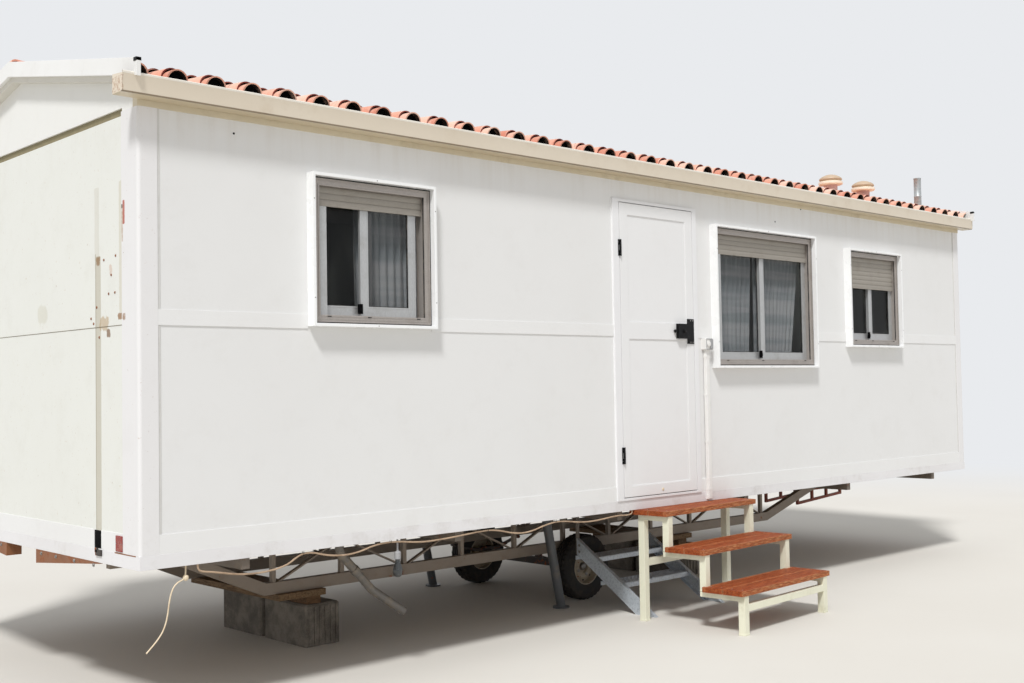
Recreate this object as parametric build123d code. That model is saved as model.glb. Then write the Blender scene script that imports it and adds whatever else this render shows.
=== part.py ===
from build123d import *
import math
import os
from typing import NamedTuple

# Mobile home: millimetres, +Z up. It is drawn from its front left corner at ground level,
# X along the front wall, Y into the home, and set about the centre of its footprint at the end.

# Body
length = 8540.0
depth = 3000.0
floor_height = 770.0
eave_height = 2300.0
panel_thickness = 50.0
panel_setback = 6.0
channel_height = 70.0
channel_flange = 45.0
channel_wall = 5.0
deck_thickness = 18.0
joist_count = 9
joist_width = 60.0
joist_height = 60.0
joist_wall = 4.0
post_front_width = 105.0
post_side_width = 181.0
post_corner_radius = 18.0

# Flat rails on the wall panels
rail_thickness = 5.0
bottom_rail_height = 98.0
mid_rail_height = 80.0
mid_rail_level = 1210.0
lift_slot_offset = 433.0
lift_slot_width = 84.0

# Roof
roof_slope = 11.0
eave_beam_height = 110.0
eave_beam_width = 50.0
ceiling_thickness = 40.0
roof_panel_thickness = 30.0
verge_overhang = 48.0
verge_board_thickness = 22.0
verge_board_height = 88.0
verge_board_drop = 2.0
verge_board_reach = 140.0
tile_pitch = 215.5
tile_first_crest = -7.0
tile_crest_width = 132.0
tile_crest_height = 56.0
tile_hollow_shoulder = 24.0
tile_thickness = 9.0
tile_eave_reach = 60.0
ridge_cap_width = 250.0
ridge_cap_rise = 62.0
ridge_cap_thickness = 10.0
gable_groove_height = 40.0
gable_groove_depth = 14.0
gutter_reach = 112.0
gutter_height = 102.0
gutter_bottom_width = 72.0
gutter_bow_reach = 34.0
gutter_bow_level = 20.0
gutter_bow_height = 56.0
gutter_wall = 3.0
gutter_lift = 24.0
gutter_overhang_left = 160.0
gutter_overhang_right = 90.0
vent_offset_left = 1290.0
vent_spacing = 575.0
vent_setback = 600.0
vent_neck_radius = 62.0
vent_cap_radius = 112.0
vent_height = 265.0
vent_cap_drop = 96.0
vent_neck_lap = 6.0
vent_rim_drop = 70.0
vent_shoulder_drop = 42.0
vent_crown_drop = 10.0
vent_mouth_radius = 90.0
vent_shoulder_radius = 105.0
vent_crown_radius = 56.0
flue_offset = 130.0
flue_setback = 340.0
flue_radius = 35.0
flue_height = 400.0
flue_wall = 3.0

# Windows
window_head_drop = 245.0
small_window_width = 840.0
small_window_height = 815.0
large_window_width = 1320.0
large_window_height = 1050.0
window_1_left = 1010.0
window_2_left = 4610.0
window_3_left = 6478.0
window_3_head_drop = 303.0
window_1_shutter_drop = 157.0
window_2_shutter_drop = 198.0
window_3_shutter_drop = 318.0
rear_window_1_left = 1400.0
rear_window_2_left = 5700.0
surround_reach = 60.0
surround_wall = 18.0
window_frame_face = 48.0
window_frame_recess = 40.0
sash_face = 58.0
sash_depth = 16.0
sash_gap = 2.0
glass_thickness = 5.0
slat_pitch = 40.0
slat_bulge = 5.0
shutter_thickness = 9.0
sash_lap_in_frame = 6.0
sash_track_depth = 8.0
shutter_gap = 3.0
window_1_sash_slide = 41.0
window_1_curtain_inset = 353.0
curtain_depth = 46.0
curtain_gap = 22.0
curtain_rod_radius = 9.0
curtain_rod_lift = 2.0
curtain_rod_overhang = 60.0
curtain_bracket_inset = 12.0
curtain_lift = 4.0
seat_gap = 0.3

# Door
door_frame_left = 3491.0
door_jamb_left = 65.0
door_jamb_right = 49.0
door_head = 21.0
door_leaf_width = 801.0
door_leaf_drop = 154.0
door_leaf_thickness = 40.0
door_gap = 5.0
door_frame_proud = 8.0
door_stop_width = 15.0
threshold_height = 87.0
door_stile = 81.0
door_top_rail = 83.0
door_bottom_rail = 75.0
door_mid_rail = 120.0
door_mid_rail_level = 1192.0
door_panel_recess = 6.0
hinge_height = 115.0
hinge_low_level = 324.0
hinge_high_level = 1770.0
hinge_knuckle_radius = 8.0
hinge_pin_radius = 4.0
hinge_pin_clearance = 0.3
hinge_plate_width = 17.0
hinge_plate_gap = 1.5
hinge_knuckle_gap = 0.5
hinge_strap_gap = 0.8
hinge_plate_thickness = 2.5
hinge_knuckles = 3
lock_plate_width = 74.0
lock_plate_height = 183.0
lock_plate_level = 1165.0
lock_plate_thickness = 6.0
lock_edge_gap = 4.0
lock_body_width = 130.0
lock_body_height = 108.0
lock_body_depth = 26.0
lock_body_lap = 4.0
lock_cylinder_radius = 13.0
lock_cylinder_reach = 9.0
lock_knob_radius = 11.0
lock_knob_reach = 30.0
lock_stem_radius = 6.0
lock_inner_plate_thickness = 4.0
lock_inner_plate_height = 143.0
lock_inner_plate_width = 42.0
lock_inner_plate_shift = 8.0

# Cable cover beside the door
cover_left = 4482.0
cover_width = 42.0
cover_depth = 25.0
cover_bottom = 19.0
cover_top = 1122.0
box_width = 78.0
box_height = 86.0
box_depth = 48.0
cover_fillet = 5.0
box_fillet = 8.0

# Chassis
girder_setback = 980.0
chord_width = 50.0
chord_height = 75.0
chord_level = 370.0
top_chord_height = 60.0
cross_member_width = 50.0
cross_member_height = 60.0
cross_member_inset = 600.0
cross_member_setback = 20.0
cross_member_count = 6
girder_top_inset = 300.0
girder_bottom_start = 1300.0
girder_bottom_inset = 1900.0
girder_left_rise_run = 640.0
girder_right_rise_run = 955.0
girder_bar = 30.0
girder_diagonal = 24.0
girder_web_inset = 10.0
girder_web_gap = 12.0
girder_bays = 10
tail_lattice_setback = 1300.0
tail_lattice_length = 805.0
tail_lattice_inset = 113.0
tail_lattice_low = 416.0
tail_lattice_rise = 53.0
tail_lattice_middle = 543.0
tail_lattice_bar = 25.0
tail_lattice_bays = 3
end_bracket_reach = 830.0
end_bracket_start = 450.0
end_bracket_drop = 78.0
end_bracket_thickness = 90.0
end_bracket_tip = 6.0
wheel_centre = 4060.0
wheel_radius = 250.0
wheel_width = 145.0
rim_radius = 135.0
wheel_clearance = 7.0
tyre_shoulder = 24.0
rim_dish_radius = 84.0
dish_depth = 22.0
axle_size = 50.0
hub_radius = 48.0
hub_setback = 65.0
hub_length = 36.0
stub_radius = 16.0
stub_clearance = 1.0
rim_wall = 9.0
dish_wall = 8.0
spring_half_length = 360.0
spring_thickness = 24.0
steady_member = 2
steady_lean = 150.0
steady_setback = 754.0
steady_radius = 34.0
steady_foot_radius = 62.0
steady_foot_thickness = 12.0
steady_trim = 20.0

# Footings
block_width = 262.0
block_length = 500.0
block_height = 270.0
block_edge = 12.0
block_left = 1602.0
block_right = 5350.0
wedge_height = 60.0
wedge_length = 200.0
wedge_inset = 20.0
plank_width = 350.0
plank_thickness = 40.0
plank_shift = 222.0
plank_overhang = 40.0

# Wooden steps on steel legs
tread_left = 3725.0
tread_width = 1134.0
tread_depth = 318.0
tread_board_gap = 4.0
tread_thickness = 34.0
tread_going = 298.0
tread_rise = 240.0
tread_count = 3
steps_front = 862.0
steps_turn = 3.5
step_leg = 50.0
step_rail = 36.0
step_side_inset = 30.0
step_front_inset = 6.0
step_back_inset = 54.0
step_tie = 45.0
step_tie_level = 154.0
step_back_tie_height = 50.0
step_back_tie_level = 375.0
step_notch_gap = 1.0

# Metal steps that hang under the floor
metal_shift = 314.0
metal_width = 800.0
metal_foot = -18.0
metal_top = 740.0
metal_top_level = 495.0
metal_web = 100.0
metal_flange = 32.0
metal_wall = 4.0
metal_tread_depth = 210.0
metal_tread_height = 30.0
metal_tread_first = 170.0
metal_tread_rise = 164.0
metal_tread_setback = 54.0
metal_bearer = 40.0
metal_hanger = 10.0
metal_tread_count = 2

# Cables and lamp under the front edge
cord_arc_share = 0.45
cord_sides = 8
base_cable_radius = 5.0
base_cable_setback = 10.0
base_cable_route = [(318, 770), (318, 752), (325, 738), (345, 728), (384, 723), (450, 710), (520, 695),
                    (610, 684), (700, 683), (790, 692), (858, 710), (905, 738), (950, 757), (1015, 755),
                    (1080, 735), (1160, 721), (1250, 717), (1335, 727), (1410, 748), (1500, 759),
                    (1605, 756), (1700, 742), (1800, 734), (1920, 736), (2050, 742), (2180, 751),
                    (2300, 757), (2400, 745), (2490, 722), (2590, 708), (2690, 716), (2790, 740),
                    (2896, 756), (3000, 750), (3110, 733), (3220, 727), (3330, 731), (3440, 740),
                    (3530, 744), (3585, 738), (3637, 741), (3653, 752), (3653, 770)]
loose_lead_radius = 4.0
loose_lead_route = [(262, 30, 770), (262, 30, 742), (259, 29, 714), (243, 27, 696), (217, 25, 689),
                    (192, 24, 669), (176, 24, 632), (168, 26, 588), (163, 29, 542), (155, 32, 497),
                    (140, 34, 456), (113, 33, 420), (80, 30, 389), (45, 26, 360)]
lamp_left = 1610.0
lamp_setback = 30.0
lamp_flex_radius = 6.0
lamp_flex_length = 74.0
lamp_holder_radius = 20.0
lamp_holder_length = 44.0
lamp_neck_radius = 14.0
lamp_bulb_radius = 29.0
lamp_bulb_length = 104.0

# Waste pipe
waste_left = 1600.0
waste_setback = 600.0
waste_radius = 27.0
waste_wall = 3.0
waste_bend_level = 640.0
waste_knee_reach = 245.0
waste_knee_level = 380.0
waste_end_reach = 450.0
waste_end_turn = 60.0
waste_end_level = 225.0
waste_bend_radius = 70.0


class Window(NamedTuple):
    """One window opening, its left and sill measured from the corner and the floor frame."""

    left: float
    sill: float
    width: float
    height: float
    shutter_drop: float
    curtained: bool
    curtain_inset: float
    slide: float


# Levels that follow from the sizes above
channel_top = floor_height + channel_height
wall_top = floor_height + eave_height
window_top = eave_height - window_head_drop
window_3_top = eave_height - window_3_head_drop
rise_per_run = math.tan(math.radians(roof_slope))
eave_line = wall_top + eave_beam_height
gutter_top = eave_line + gutter_lift
gutter_base = gutter_top - gutter_height
ridge_line = eave_line + rise_per_run * depth / 2
panel_back = panel_setback + panel_thickness
cross_member_low = floor_height - cross_member_height
cross_member_pitch = (length - 2 * cross_member_inset) / (cross_member_count - 1)
steady_x = cross_member_inset + steady_member * cross_member_pitch
metal_left = steady_x + metal_shift
tail_lattice_end = length - tail_lattice_inset
door_opening_left = door_frame_left + door_jamb_left
door_leaf_left = door_opening_left + door_gap
door_opening_right = door_leaf_left + door_leaf_width + door_gap
door_frame_right = door_opening_right + door_jamb_right
threshold_top = floor_height + threshold_height
door_leaf_bottom = threshold_top + door_gap
door_leaf_top = wall_top - door_leaf_drop
door_frame_top = door_leaf_top + door_gap + door_head
door_leaf_back = door_leaf_thickness - door_frame_proud
hinge_axis_x = door_opening_left + door_gap / 2
hinge_axis_y = -door_frame_proud - hinge_knuckle_radius

small = (small_window_width, small_window_height)
front_windows = [
    Window(window_1_left, window_top - small_window_height, *small, window_1_shutter_drop, True,
           window_1_curtain_inset, window_1_sash_slide),
    Window(window_2_left, window_top - large_window_height, large_window_width, large_window_height,
           window_2_shutter_drop, True, 0.0, 0.0),
    Window(window_3_left, window_3_top - small_window_height, *small, window_3_shutter_drop, False,
           0.0, 0.0),
]
rear_windows = [
    Window(left, window_top - small_window_height, *small, window_1_shutter_drop, False, 0.0, 0.0)
    for left in (rear_window_1_left, rear_window_2_left)
]

footprint_x = (length + gutter_overhang_right - gutter_overhang_left) / 2
footprint_y = (depth + verge_board_reach - steps_front) / 2
to_centre = Pos(-footprint_x, -footprint_y, 0)


def block(x0, x1, y0, y1, z0, z1):
    """A straight rectangular piece between two corners."""
    section = Rectangle(x1 - x0, y1 - y0, align=(Align.MIN, Align.MIN))
    return Pos(x0, y0, z0) * extrude(section, amount=z1 - z0)


def run(section, start, side, along, distance):
    """Extrude a section from a start point, its own X turned to side and its Y upward."""
    plane = Plane(origin=start, x_dir=side, z_dir=along)
    return extrude(plane * section, amount=distance)


def side_plate(points, x0, x1):
    """A plate between two X planes, its outline given as Y and Z pairs."""
    outline = make_face(Polyline(*[(x0, y, z) for y, z in points], close=True))
    return extrude(outline, amount=x1 - x0, dir=(1, 0, 0))


def front_plate(points, y0, y1):
    """A plate between two Y planes, its outline given as X and Z pairs."""
    outline = make_face(Polyline(*[(x, y0, z) for x, z in points], close=True))
    return extrude(outline, amount=y1 - y0, dir=(0, 1, 0))


def to_rear(piece):
    """The same piece turned half round, onto the rear wall."""
    return Pos(length, depth, 0) * Rot(0, 0, 180) * piece


def across(piece):
    """The piece mirrored from the front half of the home to the rear half."""
    return mirror(piece, about=Plane(origin=(0, depth / 2, 0), z_dir=(0, 1, 0)))


def save(node, *pieces):
    """Write one named node from its solids, moved to the centre of the footprint."""
    solids = [solid for piece in pieces for solid in piece.solids()]
    placed = [to_centre * solid for solid in solids]
    shape = placed[0] if len(placed) == 1 else Compound(children=placed)
    export_step(shape, f"parts/{node}.step")


def roof_underside(y):
    """Height of the underside of the roof panel over a distance from the front face."""
    return eave_line + rise_per_run * min(y, depth - y)


# Floor frame and floor

def channel_section():
    """C section with its web on the outer face and its flanges inward."""
    outer = Rectangle(channel_flange, channel_height, align=(Align.MIN, Align.MIN))
    hollow = Rectangle(channel_flange, channel_height - 2 * channel_wall, align=(Align.MIN, Align.MIN))
    return outer - Pos(channel_wall, channel_wall) * hollow


def build_floor():
    """Base channels, floor joists and the floor deck."""
    section = channel_section()
    low = floor_height
    front = run(section, (0, 0, low), (0, 1, 0), (1, 0, 0), length)
    for x in (0, length - channel_wall):
        front += block(x, x + channel_wall, 0, channel_flange, low, channel_top)
    save("base_channels_long", front, to_rear(front))
    clear = depth - 2 * channel_flange
    left = run(section, (0, depth - channel_flange, low), (1, 0, 0), (0, -1, 0), clear)
    right = run(section, (length, channel_flange, low), (-1, 0, 0), (0, 1, 0), clear)
    save("base_channels_end", left, right)
    tube = Rectangle(joist_width, joist_height) - Rectangle(
        joist_width - 2 * joist_wall, joist_height - 2 * joist_wall)
    pitch = (length - 2 * channel_flange - joist_width) / (joist_count + 1)
    joists = []
    for index in range(1, joist_count + 1):
        centre = channel_flange + joist_width / 2 + index * pitch
        start = (centre, channel_wall, low + channel_height / 2)
        joists.append(run(tube, start, (-1, 0, 0), (0, 1, 0), depth - 2 * channel_wall))
    save("floor_joists", *joists)
    save("floor_deck", block(panel_back, length - panel_back, panel_back, depth - panel_back,
                             channel_top, channel_top + deck_thickness))


# Walls

def window_cut(window):
    """The hole that a window leaves in its wall panel."""
    low = floor_height + window.sill
    return block(window.left, window.left + window.width, 0, panel_back + panel_setback,
                 low, low + window.height)


def wall_panel(x0, x1, z0, z1, windows):
    """A front wall panel with its windows cut through."""
    panel = block(x0, x1, panel_setback, panel_back, z0, z1)
    for window in windows:
        if x0 < window.left < x1:
            panel -= window_cut(window)
    return panel


def build_walls():
    """Wall panels, corner posts and gable panels."""
    low = channel_top
    start = post_front_width
    end = length - post_front_width
    save("front_wall_left", wall_panel(start, door_frame_left, low, wall_top, front_windows))
    over_door = wall_panel(door_frame_left, door_frame_right, door_frame_top, wall_top, [])
    save("front_wall_over_door", over_door)
    save("front_wall_right", wall_panel(door_frame_right, end, low, wall_top, front_windows))
    save("rear_wall", to_rear(wall_panel(start, end, low, wall_top, rear_windows)))
    side = post_side_width
    half_groove = gable_groove_height / 2
    groove = block(0, panel_setback + gable_groove_depth, post_side_width, depth - post_side_width,
                   wall_top - half_groove, wall_top + half_groove)
    left = block(panel_setback, panel_back, side, depth - side, low, wall_top) - groove
    save("end_walls", left, to_rear(left))
    foot = Rectangle(post_front_width, post_side_width, align=(Align.MIN, Align.MIN))
    inner = Rectangle(post_front_width, post_side_width, align=(Align.MIN, Align.MIN))
    angle = foot - Pos(panel_back, panel_back) * inner
    angle = fillet(angle.vertices().sort_by_distance((0, 0))[0], post_corner_radius)
    front_left = Pos(0, 0, low) * extrude(angle, amount=wall_top - low)
    front_right = mirror(front_left, about=Plane(origin=(length / 2, 0, 0), z_dir=(1, 0, 0)))
    save("corner_posts", front_left, front_right, across(front_left), across(front_right))
    gable = [(eave_beam_width, wall_top), (depth - eave_beam_width, wall_top),
             (depth - eave_beam_width, roof_underside(eave_beam_width)), (depth / 2, ridge_line),
             (eave_beam_width, roof_underside(eave_beam_width))]
    left_gable = side_plate(gable, panel_setback, panel_back) - groove
    save("gable_panels", left_gable, to_rear(left_gable))


def rail_spans(stops, x0, x1):
    """The clear lengths between the windows and the door, left to right."""
    spans = []
    cursor = x0
    for low, high in sorted(stops):
        if low > cursor:
            spans.append((cursor, low))
        cursor = max(cursor, high)
    if cursor < x1:
        spans.append((cursor, x1))
    return spans


def rails(stops, z0, z1):
    """Flat rails on the panel face between the corner posts."""
    y0 = panel_setback - rail_thickness
    spans = rail_spans(stops, post_front_width, length - post_front_width)
    return [block(x0, x1, y0, panel_setback, z0, z1) for x0, x1 in spans]


def window_stops(windows, level):
    """Where window surrounds interrupt a rail at one level."""
    found = []
    for window in windows:
        low = window.sill - surround_wall
        high = window.sill + window.height + surround_wall
        if low < level + mid_rail_height and high > level:
            found.append((window.left - surround_wall, window.left + window.width + surround_wall))
    return found


def end_rails(z0, z1, slots):
    """Rails on the left end wall, with the lifting slots cut out where asked."""
    x0 = panel_setback - rail_thickness
    low = post_side_width
    high = depth - post_side_width
    rail = block(x0, panel_setback, low, high, z0, z1)
    if slots:
        slot = block(0, panel_setback, lift_slot_offset, lift_slot_offset + lift_slot_width, z0, z1)
        rail = rail - slot - across(slot)
    return rail


def build_rails():
    """Bottom rails and middle rails on all four walls."""
    door = (door_frame_left, door_frame_right)
    low = channel_top
    high = channel_top + bottom_rail_height
    mid = floor_height + mid_rail_level
    mid_high = mid + mid_rail_height
    front = rails([door], low, high)
    rear = [to_rear(piece) for piece in rails([], low, high)]
    end = end_rails(low, high, True)
    bottom = [*front, *rear, end, to_rear(end)]
    stops = window_stops(front_windows, mid_rail_level) + [door]
    front = rails(stops, mid, mid_high)
    rear = [to_rear(piece) for piece in rails(window_stops(rear_windows, mid_rail_level), mid, mid_high)]
    save("wall_rails", *bottom, *front, *rear)


# Roof

def tile_crest(centre):
    """One round crest over its hollow, its feet level with the top of the pans."""
    half = tile_crest_width / 2
    top = (centre, tile_thickness + tile_crest_height)
    arch = ThreePointArc((centre - half, tile_thickness), top, (centre + half, tile_thickness))
    return make_face([arch, Line((centre + half, tile_thickness), (centre - half, tile_thickness))])


def tile_hollow(centre):
    """Open space under one crest."""
    foot = tile_crest_width / 2 - tile_thickness
    shoulder = foot - tile_hollow_shoulder
    return make_face(Polyline((centre - foot, 0), (centre - shoulder, tile_crest_height),
                              (centre + shoulder, tile_crest_height), (centre + foot, 0), close=True))


def tile_section():
    """Section of one tile sheet between the verge boards: flat pans and hollow round crests."""
    start = -verge_overhang
    total = length + 2 * verge_overhang
    section = Pos(start, 0) * Rectangle(total, tile_thickness, align=(Align.MIN, Align.MIN))
    count = math.floor((start + total - tile_first_crest) / tile_pitch) + 1
    centres = [tile_first_crest + index * tile_pitch for index in range(count)]
    section += [tile_crest(centre) for centre in centres]
    section -= [tile_hollow(centre) for centre in centres]
    span = Pos(start, 0) * Rectangle(total, 2 * tile_crest_height, align=(Align.MIN, Align.MIN))
    return section & span


def build_roof():
    """Ceiling, eave beams, roof panels, verge boards, tile sheets and ridge cap."""
    back = eave_beam_width
    save("ceiling", block(panel_back, length - panel_back, back, depth - back,
                          wall_top, wall_top + ceiling_thickness))
    beam = side_plate([(0, wall_top), (back, wall_top), (back, roof_underside(back)), (0, eave_line)],
                      0, length)
    save("eave_beams", beam, across(beam))
    rise = roof_panel_thickness / math.cos(math.radians(roof_slope))
    half = depth / 2
    slab = [(0, eave_line), (half, ridge_line), (half, ridge_line + rise), (0, eave_line + rise)]
    panel = side_plate(slab, -verge_overhang, length + verge_overhang)
    save("roof_panel_front", panel)
    save("roof_panel_rear", across(panel))

    low = rise - verge_board_drop
    drop = rise_per_run * verge_board_reach
    high = low + verge_board_height
    board = [(-verge_board_reach, eave_line + low - drop), (half, ridge_line + low),
             (depth + verge_board_reach, eave_line + low - drop),
             (depth + verge_board_reach, eave_line + high - drop), (half, ridge_line + high),
             (-verge_board_reach, eave_line + high - drop)]
    outer = verge_overhang + verge_board_thickness
    notch = block(-outer, -verge_overhang, -gutter_reach - seat_gap, seat_gap,
                  gutter_base, gutter_top + seat_gap)
    left = side_plate(board, -outer, -verge_overhang) - notch - across(notch)
    save("verge_boards", left, to_rear(left))

    slope = math.radians(roof_slope)
    down = (0, -math.cos(slope), -math.sin(slope))
    plane = Plane(origin=(0, half, ridge_line + rise), x_dir=(1, 0, 0), z_dir=down)
    sheet = extrude(plane * tile_section(), amount=(half + tile_eave_reach) / math.cos(slope))
    save("roof_tiles_rear", across(sheet))
    for x, y, radius in roof_holes():
        sheet -= Pos(x, y, eave_line) * extrude(Circle(radius), amount=ridge_line)
    save("roof_tiles_front", sheet)

    crest = ridge_line + rise + (tile_crest_height + tile_thickness) / math.cos(slope)
    foot = crest - rise_per_run * (ridge_cap_width / 2 - ridge_cap_thickness)
    cap = ridge_section(ridge_cap_width, ridge_cap_rise)
    cap_start = (-verge_overhang, half, foot)
    save("ridge_cap", run(cap, cap_start, (0, 1, 0), (1, 0, 0), length + 2 * verge_overhang))


def roof_holes():
    """Centre and radius of each hole through the front tile sheet."""
    vents = [(length - vent_offset_left + index * vent_spacing, vent_setback, vent_neck_radius)
             for index in range(2)]
    return vents + [(length - flue_offset, flue_setback, flue_radius)]


def ridge_section(width, rise):
    """Crescent section of the ridge cap, flat at both feet."""
    wall = ridge_cap_thickness
    outer = ThreePointArc((-width / 2, 0), (0, rise), (width / 2, 0))
    inner = ThreePointArc((width / 2 - wall, 0), (0, rise - wall), (wall - width / 2, 0))
    feet = [Line((width / 2, 0), (width / 2 - wall, 0)), Line((wall - width / 2, 0), (-width / 2, 0))]
    return make_face([outer, feet[0], inner, feet[1]])


def gutter_outline():
    """Outer line of the gutter, from the back lip round to the front lip."""
    back = Line((0, gutter_height), (0, 0))
    bottom = Line((0, 0), (gutter_bottom_width, 0))
    shoulder = (gutter_reach, gutter_bow_height)
    bow = ThreePointArc((gutter_bottom_width, 0),
                        (gutter_bottom_width + gutter_bow_reach, gutter_bow_level), shoulder)
    front = Line(shoulder, (gutter_reach, gutter_height))
    return [back, bottom, bow, front]


def build_gutters():
    """Box gutter with a bowed front and closed ends, under each eave."""
    outline = gutter_outline()
    filled = make_face(outline + [Line((gutter_reach, gutter_height), (0, gutter_height))])
    hollow = offset(filled, -gutter_wall)
    opening = Pos(gutter_wall, gutter_height / 2) * Rectangle(
        gutter_reach - 2 * gutter_wall, gutter_height, align=(Align.MIN, Align.MIN))
    total = length + gutter_overhang_left + gutter_overhang_right
    start = (length + gutter_overhang_right, 0, gutter_base)
    trough = run(filled, start, (0, -1, 0), (-1, 0, 0), total)
    inner_start = (length + gutter_overhang_right - gutter_wall, 0, gutter_base)
    inner = run(hollow + opening, inner_start, (0, -1, 0), (-1, 0, 0), total - 2 * gutter_wall)
    front = trough - inner
    save("gutters", front, across(front))


def build_roof_fittings():
    """Two mushroom vents and a flue that stand through the front roof slope."""
    rise = roof_panel_thickness / math.cos(math.radians(roof_slope))
    vents = []
    for x, _, _ in roof_holes()[:2]:
        foot = roof_underside(vent_setback) + rise
        cap_low = vent_height - vent_cap_drop
        neck = Cylinder(vent_neck_radius, cap_low + vent_neck_lap,
                        align=(Align.CENTER, Align.CENTER, Align.MIN))
        profile = [(0, cap_low), (vent_mouth_radius, cap_low),
                   (vent_cap_radius, vent_height - vent_rim_drop),
                   (vent_shoulder_radius, vent_height - vent_shoulder_drop),
                   (vent_crown_radius, vent_height - vent_crown_drop), (0, vent_height)]
        cap = revolve(make_face(Plane.XZ * Polyline(*profile, close=True)), Axis.Z)
        vents.append(Pos(x, vent_setback, foot) * (neck + cap))
    tiles = side_plate([(0, 0), (depth / 2, 0), (depth / 2, ridge_line + rise), (0, eave_line + rise)],
                       0, length)
    save("roof_vents", *[vent - tiles for vent in vents])
    ring = Circle(flue_radius) - Circle(flue_radius - flue_wall)
    flue = Pos(length - flue_offset, flue_setback, roof_underside(flue_setback)) * extrude(
        ring, amount=flue_height)
    save("flue_pipe", flue - tiles)


# Windows

def ring(window, outset, inset, y0, y1):
    """A rectangular ring round a window opening, between two depths."""
    low = floor_height + window.sill
    high = low + window.height
    x0 = window.left
    x1 = window.left + window.width
    outer = block(x0 - outset, x1 + outset, y0, y1, low - outset, high + outset)
    return outer - block(x0 + inset, x1 - inset, y0, y1, low + inset, high - inset)


def window_pieces(window):
    """All pieces of one window, by the node that they belong to."""
    low = floor_height + window.sill
    high = low + window.height
    x0 = window.left
    x1 = window.left + window.width
    face = window_frame_face
    front = window_frame_recess - surround_reach
    surround = ring(window, surround_wall, 0, -surround_reach, panel_setback)
    frame = ring(window, 0, face, front, panel_back)
    track_front = panel_back - 2 * sash_depth - 2 * sash_gap
    track = sash_track_depth
    frame -= block(x0 + face - track, x1 - face + track, track_front, panel_back - sash_gap,
                   low + face, high - face)

    middle = (x0 + x1) / 2
    lap = sash_face / 2
    sash_low = low + face
    sash_high = high - face
    sashes = []
    panes = []
    reach = face - sash_lap_in_frame
    spans = [(x0 + reach, middle + lap, track_front + sash_depth + sash_gap),
             (middle - lap - window.slide, x1 - reach - window.slide, track_front)]
    for left, right, y in spans:
        sash = block(left, right, y, y + sash_depth, sash_low, sash_high)
        hole = block(left + sash_face, right - sash_face, y, y + sash_depth,
                     sash_low + sash_face, sash_high - sash_face)
        mid = y + (sash_depth - glass_thickness) / 2
        sashes.append(sash - hole)
        panes.append(block(left + sash_face, right - sash_face, mid, mid + glass_thickness,
                           sash_low + sash_face, sash_high - sash_face))

    shutter = shutter_curtain(window, x0 + face, x1 - face, high - face)
    return {"window_surrounds": [surround], "window_frames": [frame], "window_shutters": [shutter],
            "window_sashes": sashes, "window_glass": panes}


def shutter_curtain(window, x0, x1, top):
    """The lowered part of a roller shutter: bowed slats and a straight bottom bar."""
    bottom = floor_height + window.sill + window.height - window.shutter_drop
    back = panel_back - 2 * sash_depth - 2 * sash_gap - shutter_gap
    front = back - shutter_thickness
    count = max(1, round((top - bottom) / slat_pitch))
    pitch = (top - bottom) / count
    points = [(back, top), (back, bottom), (front, bottom)]
    edges = [Line((x0, *points[0]), (x0, *points[1])), Line((x0, *points[1]), (x0, *points[2]))]
    for index in range(count):
        z = bottom + index * pitch
        mid = (x0, front - slat_bulge, z + pitch / 2)
        edges.append(ThreePointArc((x0, front, z), mid, (x0, front, z + pitch)))
    edges.append(Line((x0, front, top), (x0, back, top)))
    return extrude(make_face(edges), amount=x1 - x0, dir=(1, 0, 0))


def build_windows():
    """Surrounds, frames, shutters, sashes and panes of every window."""
    nodes = {}
    for window in front_windows:
        for node, pieces in window_pieces(window).items():
            nodes.setdefault(node, []).extend(pieces)
    for window in rear_windows:
        for node, pieces in window_pieces(window).items():
            nodes.setdefault(node, []).extend(to_rear(piece) for piece in pieces)
    for node, pieces in nodes.items():
        save(node, *pieces)
    curtains = []
    rods = []
    for window in front_windows:
        if not window.curtained:
            continue
        low = floor_height + window.sill
        high = low + window.height
        y0 = panel_back + curtain_gap
        x0 = window.left + window.curtain_inset
        x1 = window.left + window.width
        curtain_top = high + curtain_rod_lift - seat_gap
        curtains.append(block(x0, x1, y0, y0 + curtain_depth, low + curtain_lift, curtain_top))
        rods.append(curtain_rod(window, high))
    save("curtains", *curtains)
    save("curtain_rods", *rods)


def curtain_rod(window, high):
    """Rod on two wall brackets above the inside of a window."""
    centre_y = panel_back + curtain_gap + curtain_depth / 2
    centre_z = high + curtain_rod_radius + curtain_rod_lift
    start = window.left - curtain_rod_overhang
    total = window.width + 2 * curtain_rod_overhang
    rod = run(Circle(curtain_rod_radius), (start, centre_y, centre_z), (0, 1, 0), (1, 0, 0), total)
    for x in (start + curtain_bracket_inset, start + total - curtain_bracket_inset):
        rod += run(Circle(curtain_rod_radius), (x, panel_back, centre_z), (-1, 0, 0), (0, 1, 0),
                   centre_y - panel_back)
    return rod


# Door

def door_frame():
    """Frame with a rebate for the leaf, a stop behind it and a sill across its foot."""
    outer = block(door_frame_left, door_frame_right, -door_frame_proud, panel_back,
                  channel_top, door_frame_top)
    leaf_room = block(door_opening_left, door_opening_right, -door_frame_proud,
                      door_leaf_back + door_gap, threshold_top, door_leaf_top + door_gap)
    stop = door_stop_width
    passage = block(door_opening_left + stop, door_opening_right - stop, -door_frame_proud, panel_back,
                    threshold_top, door_leaf_top + door_gap - stop)
    return outer - leaf_room - passage


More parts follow.
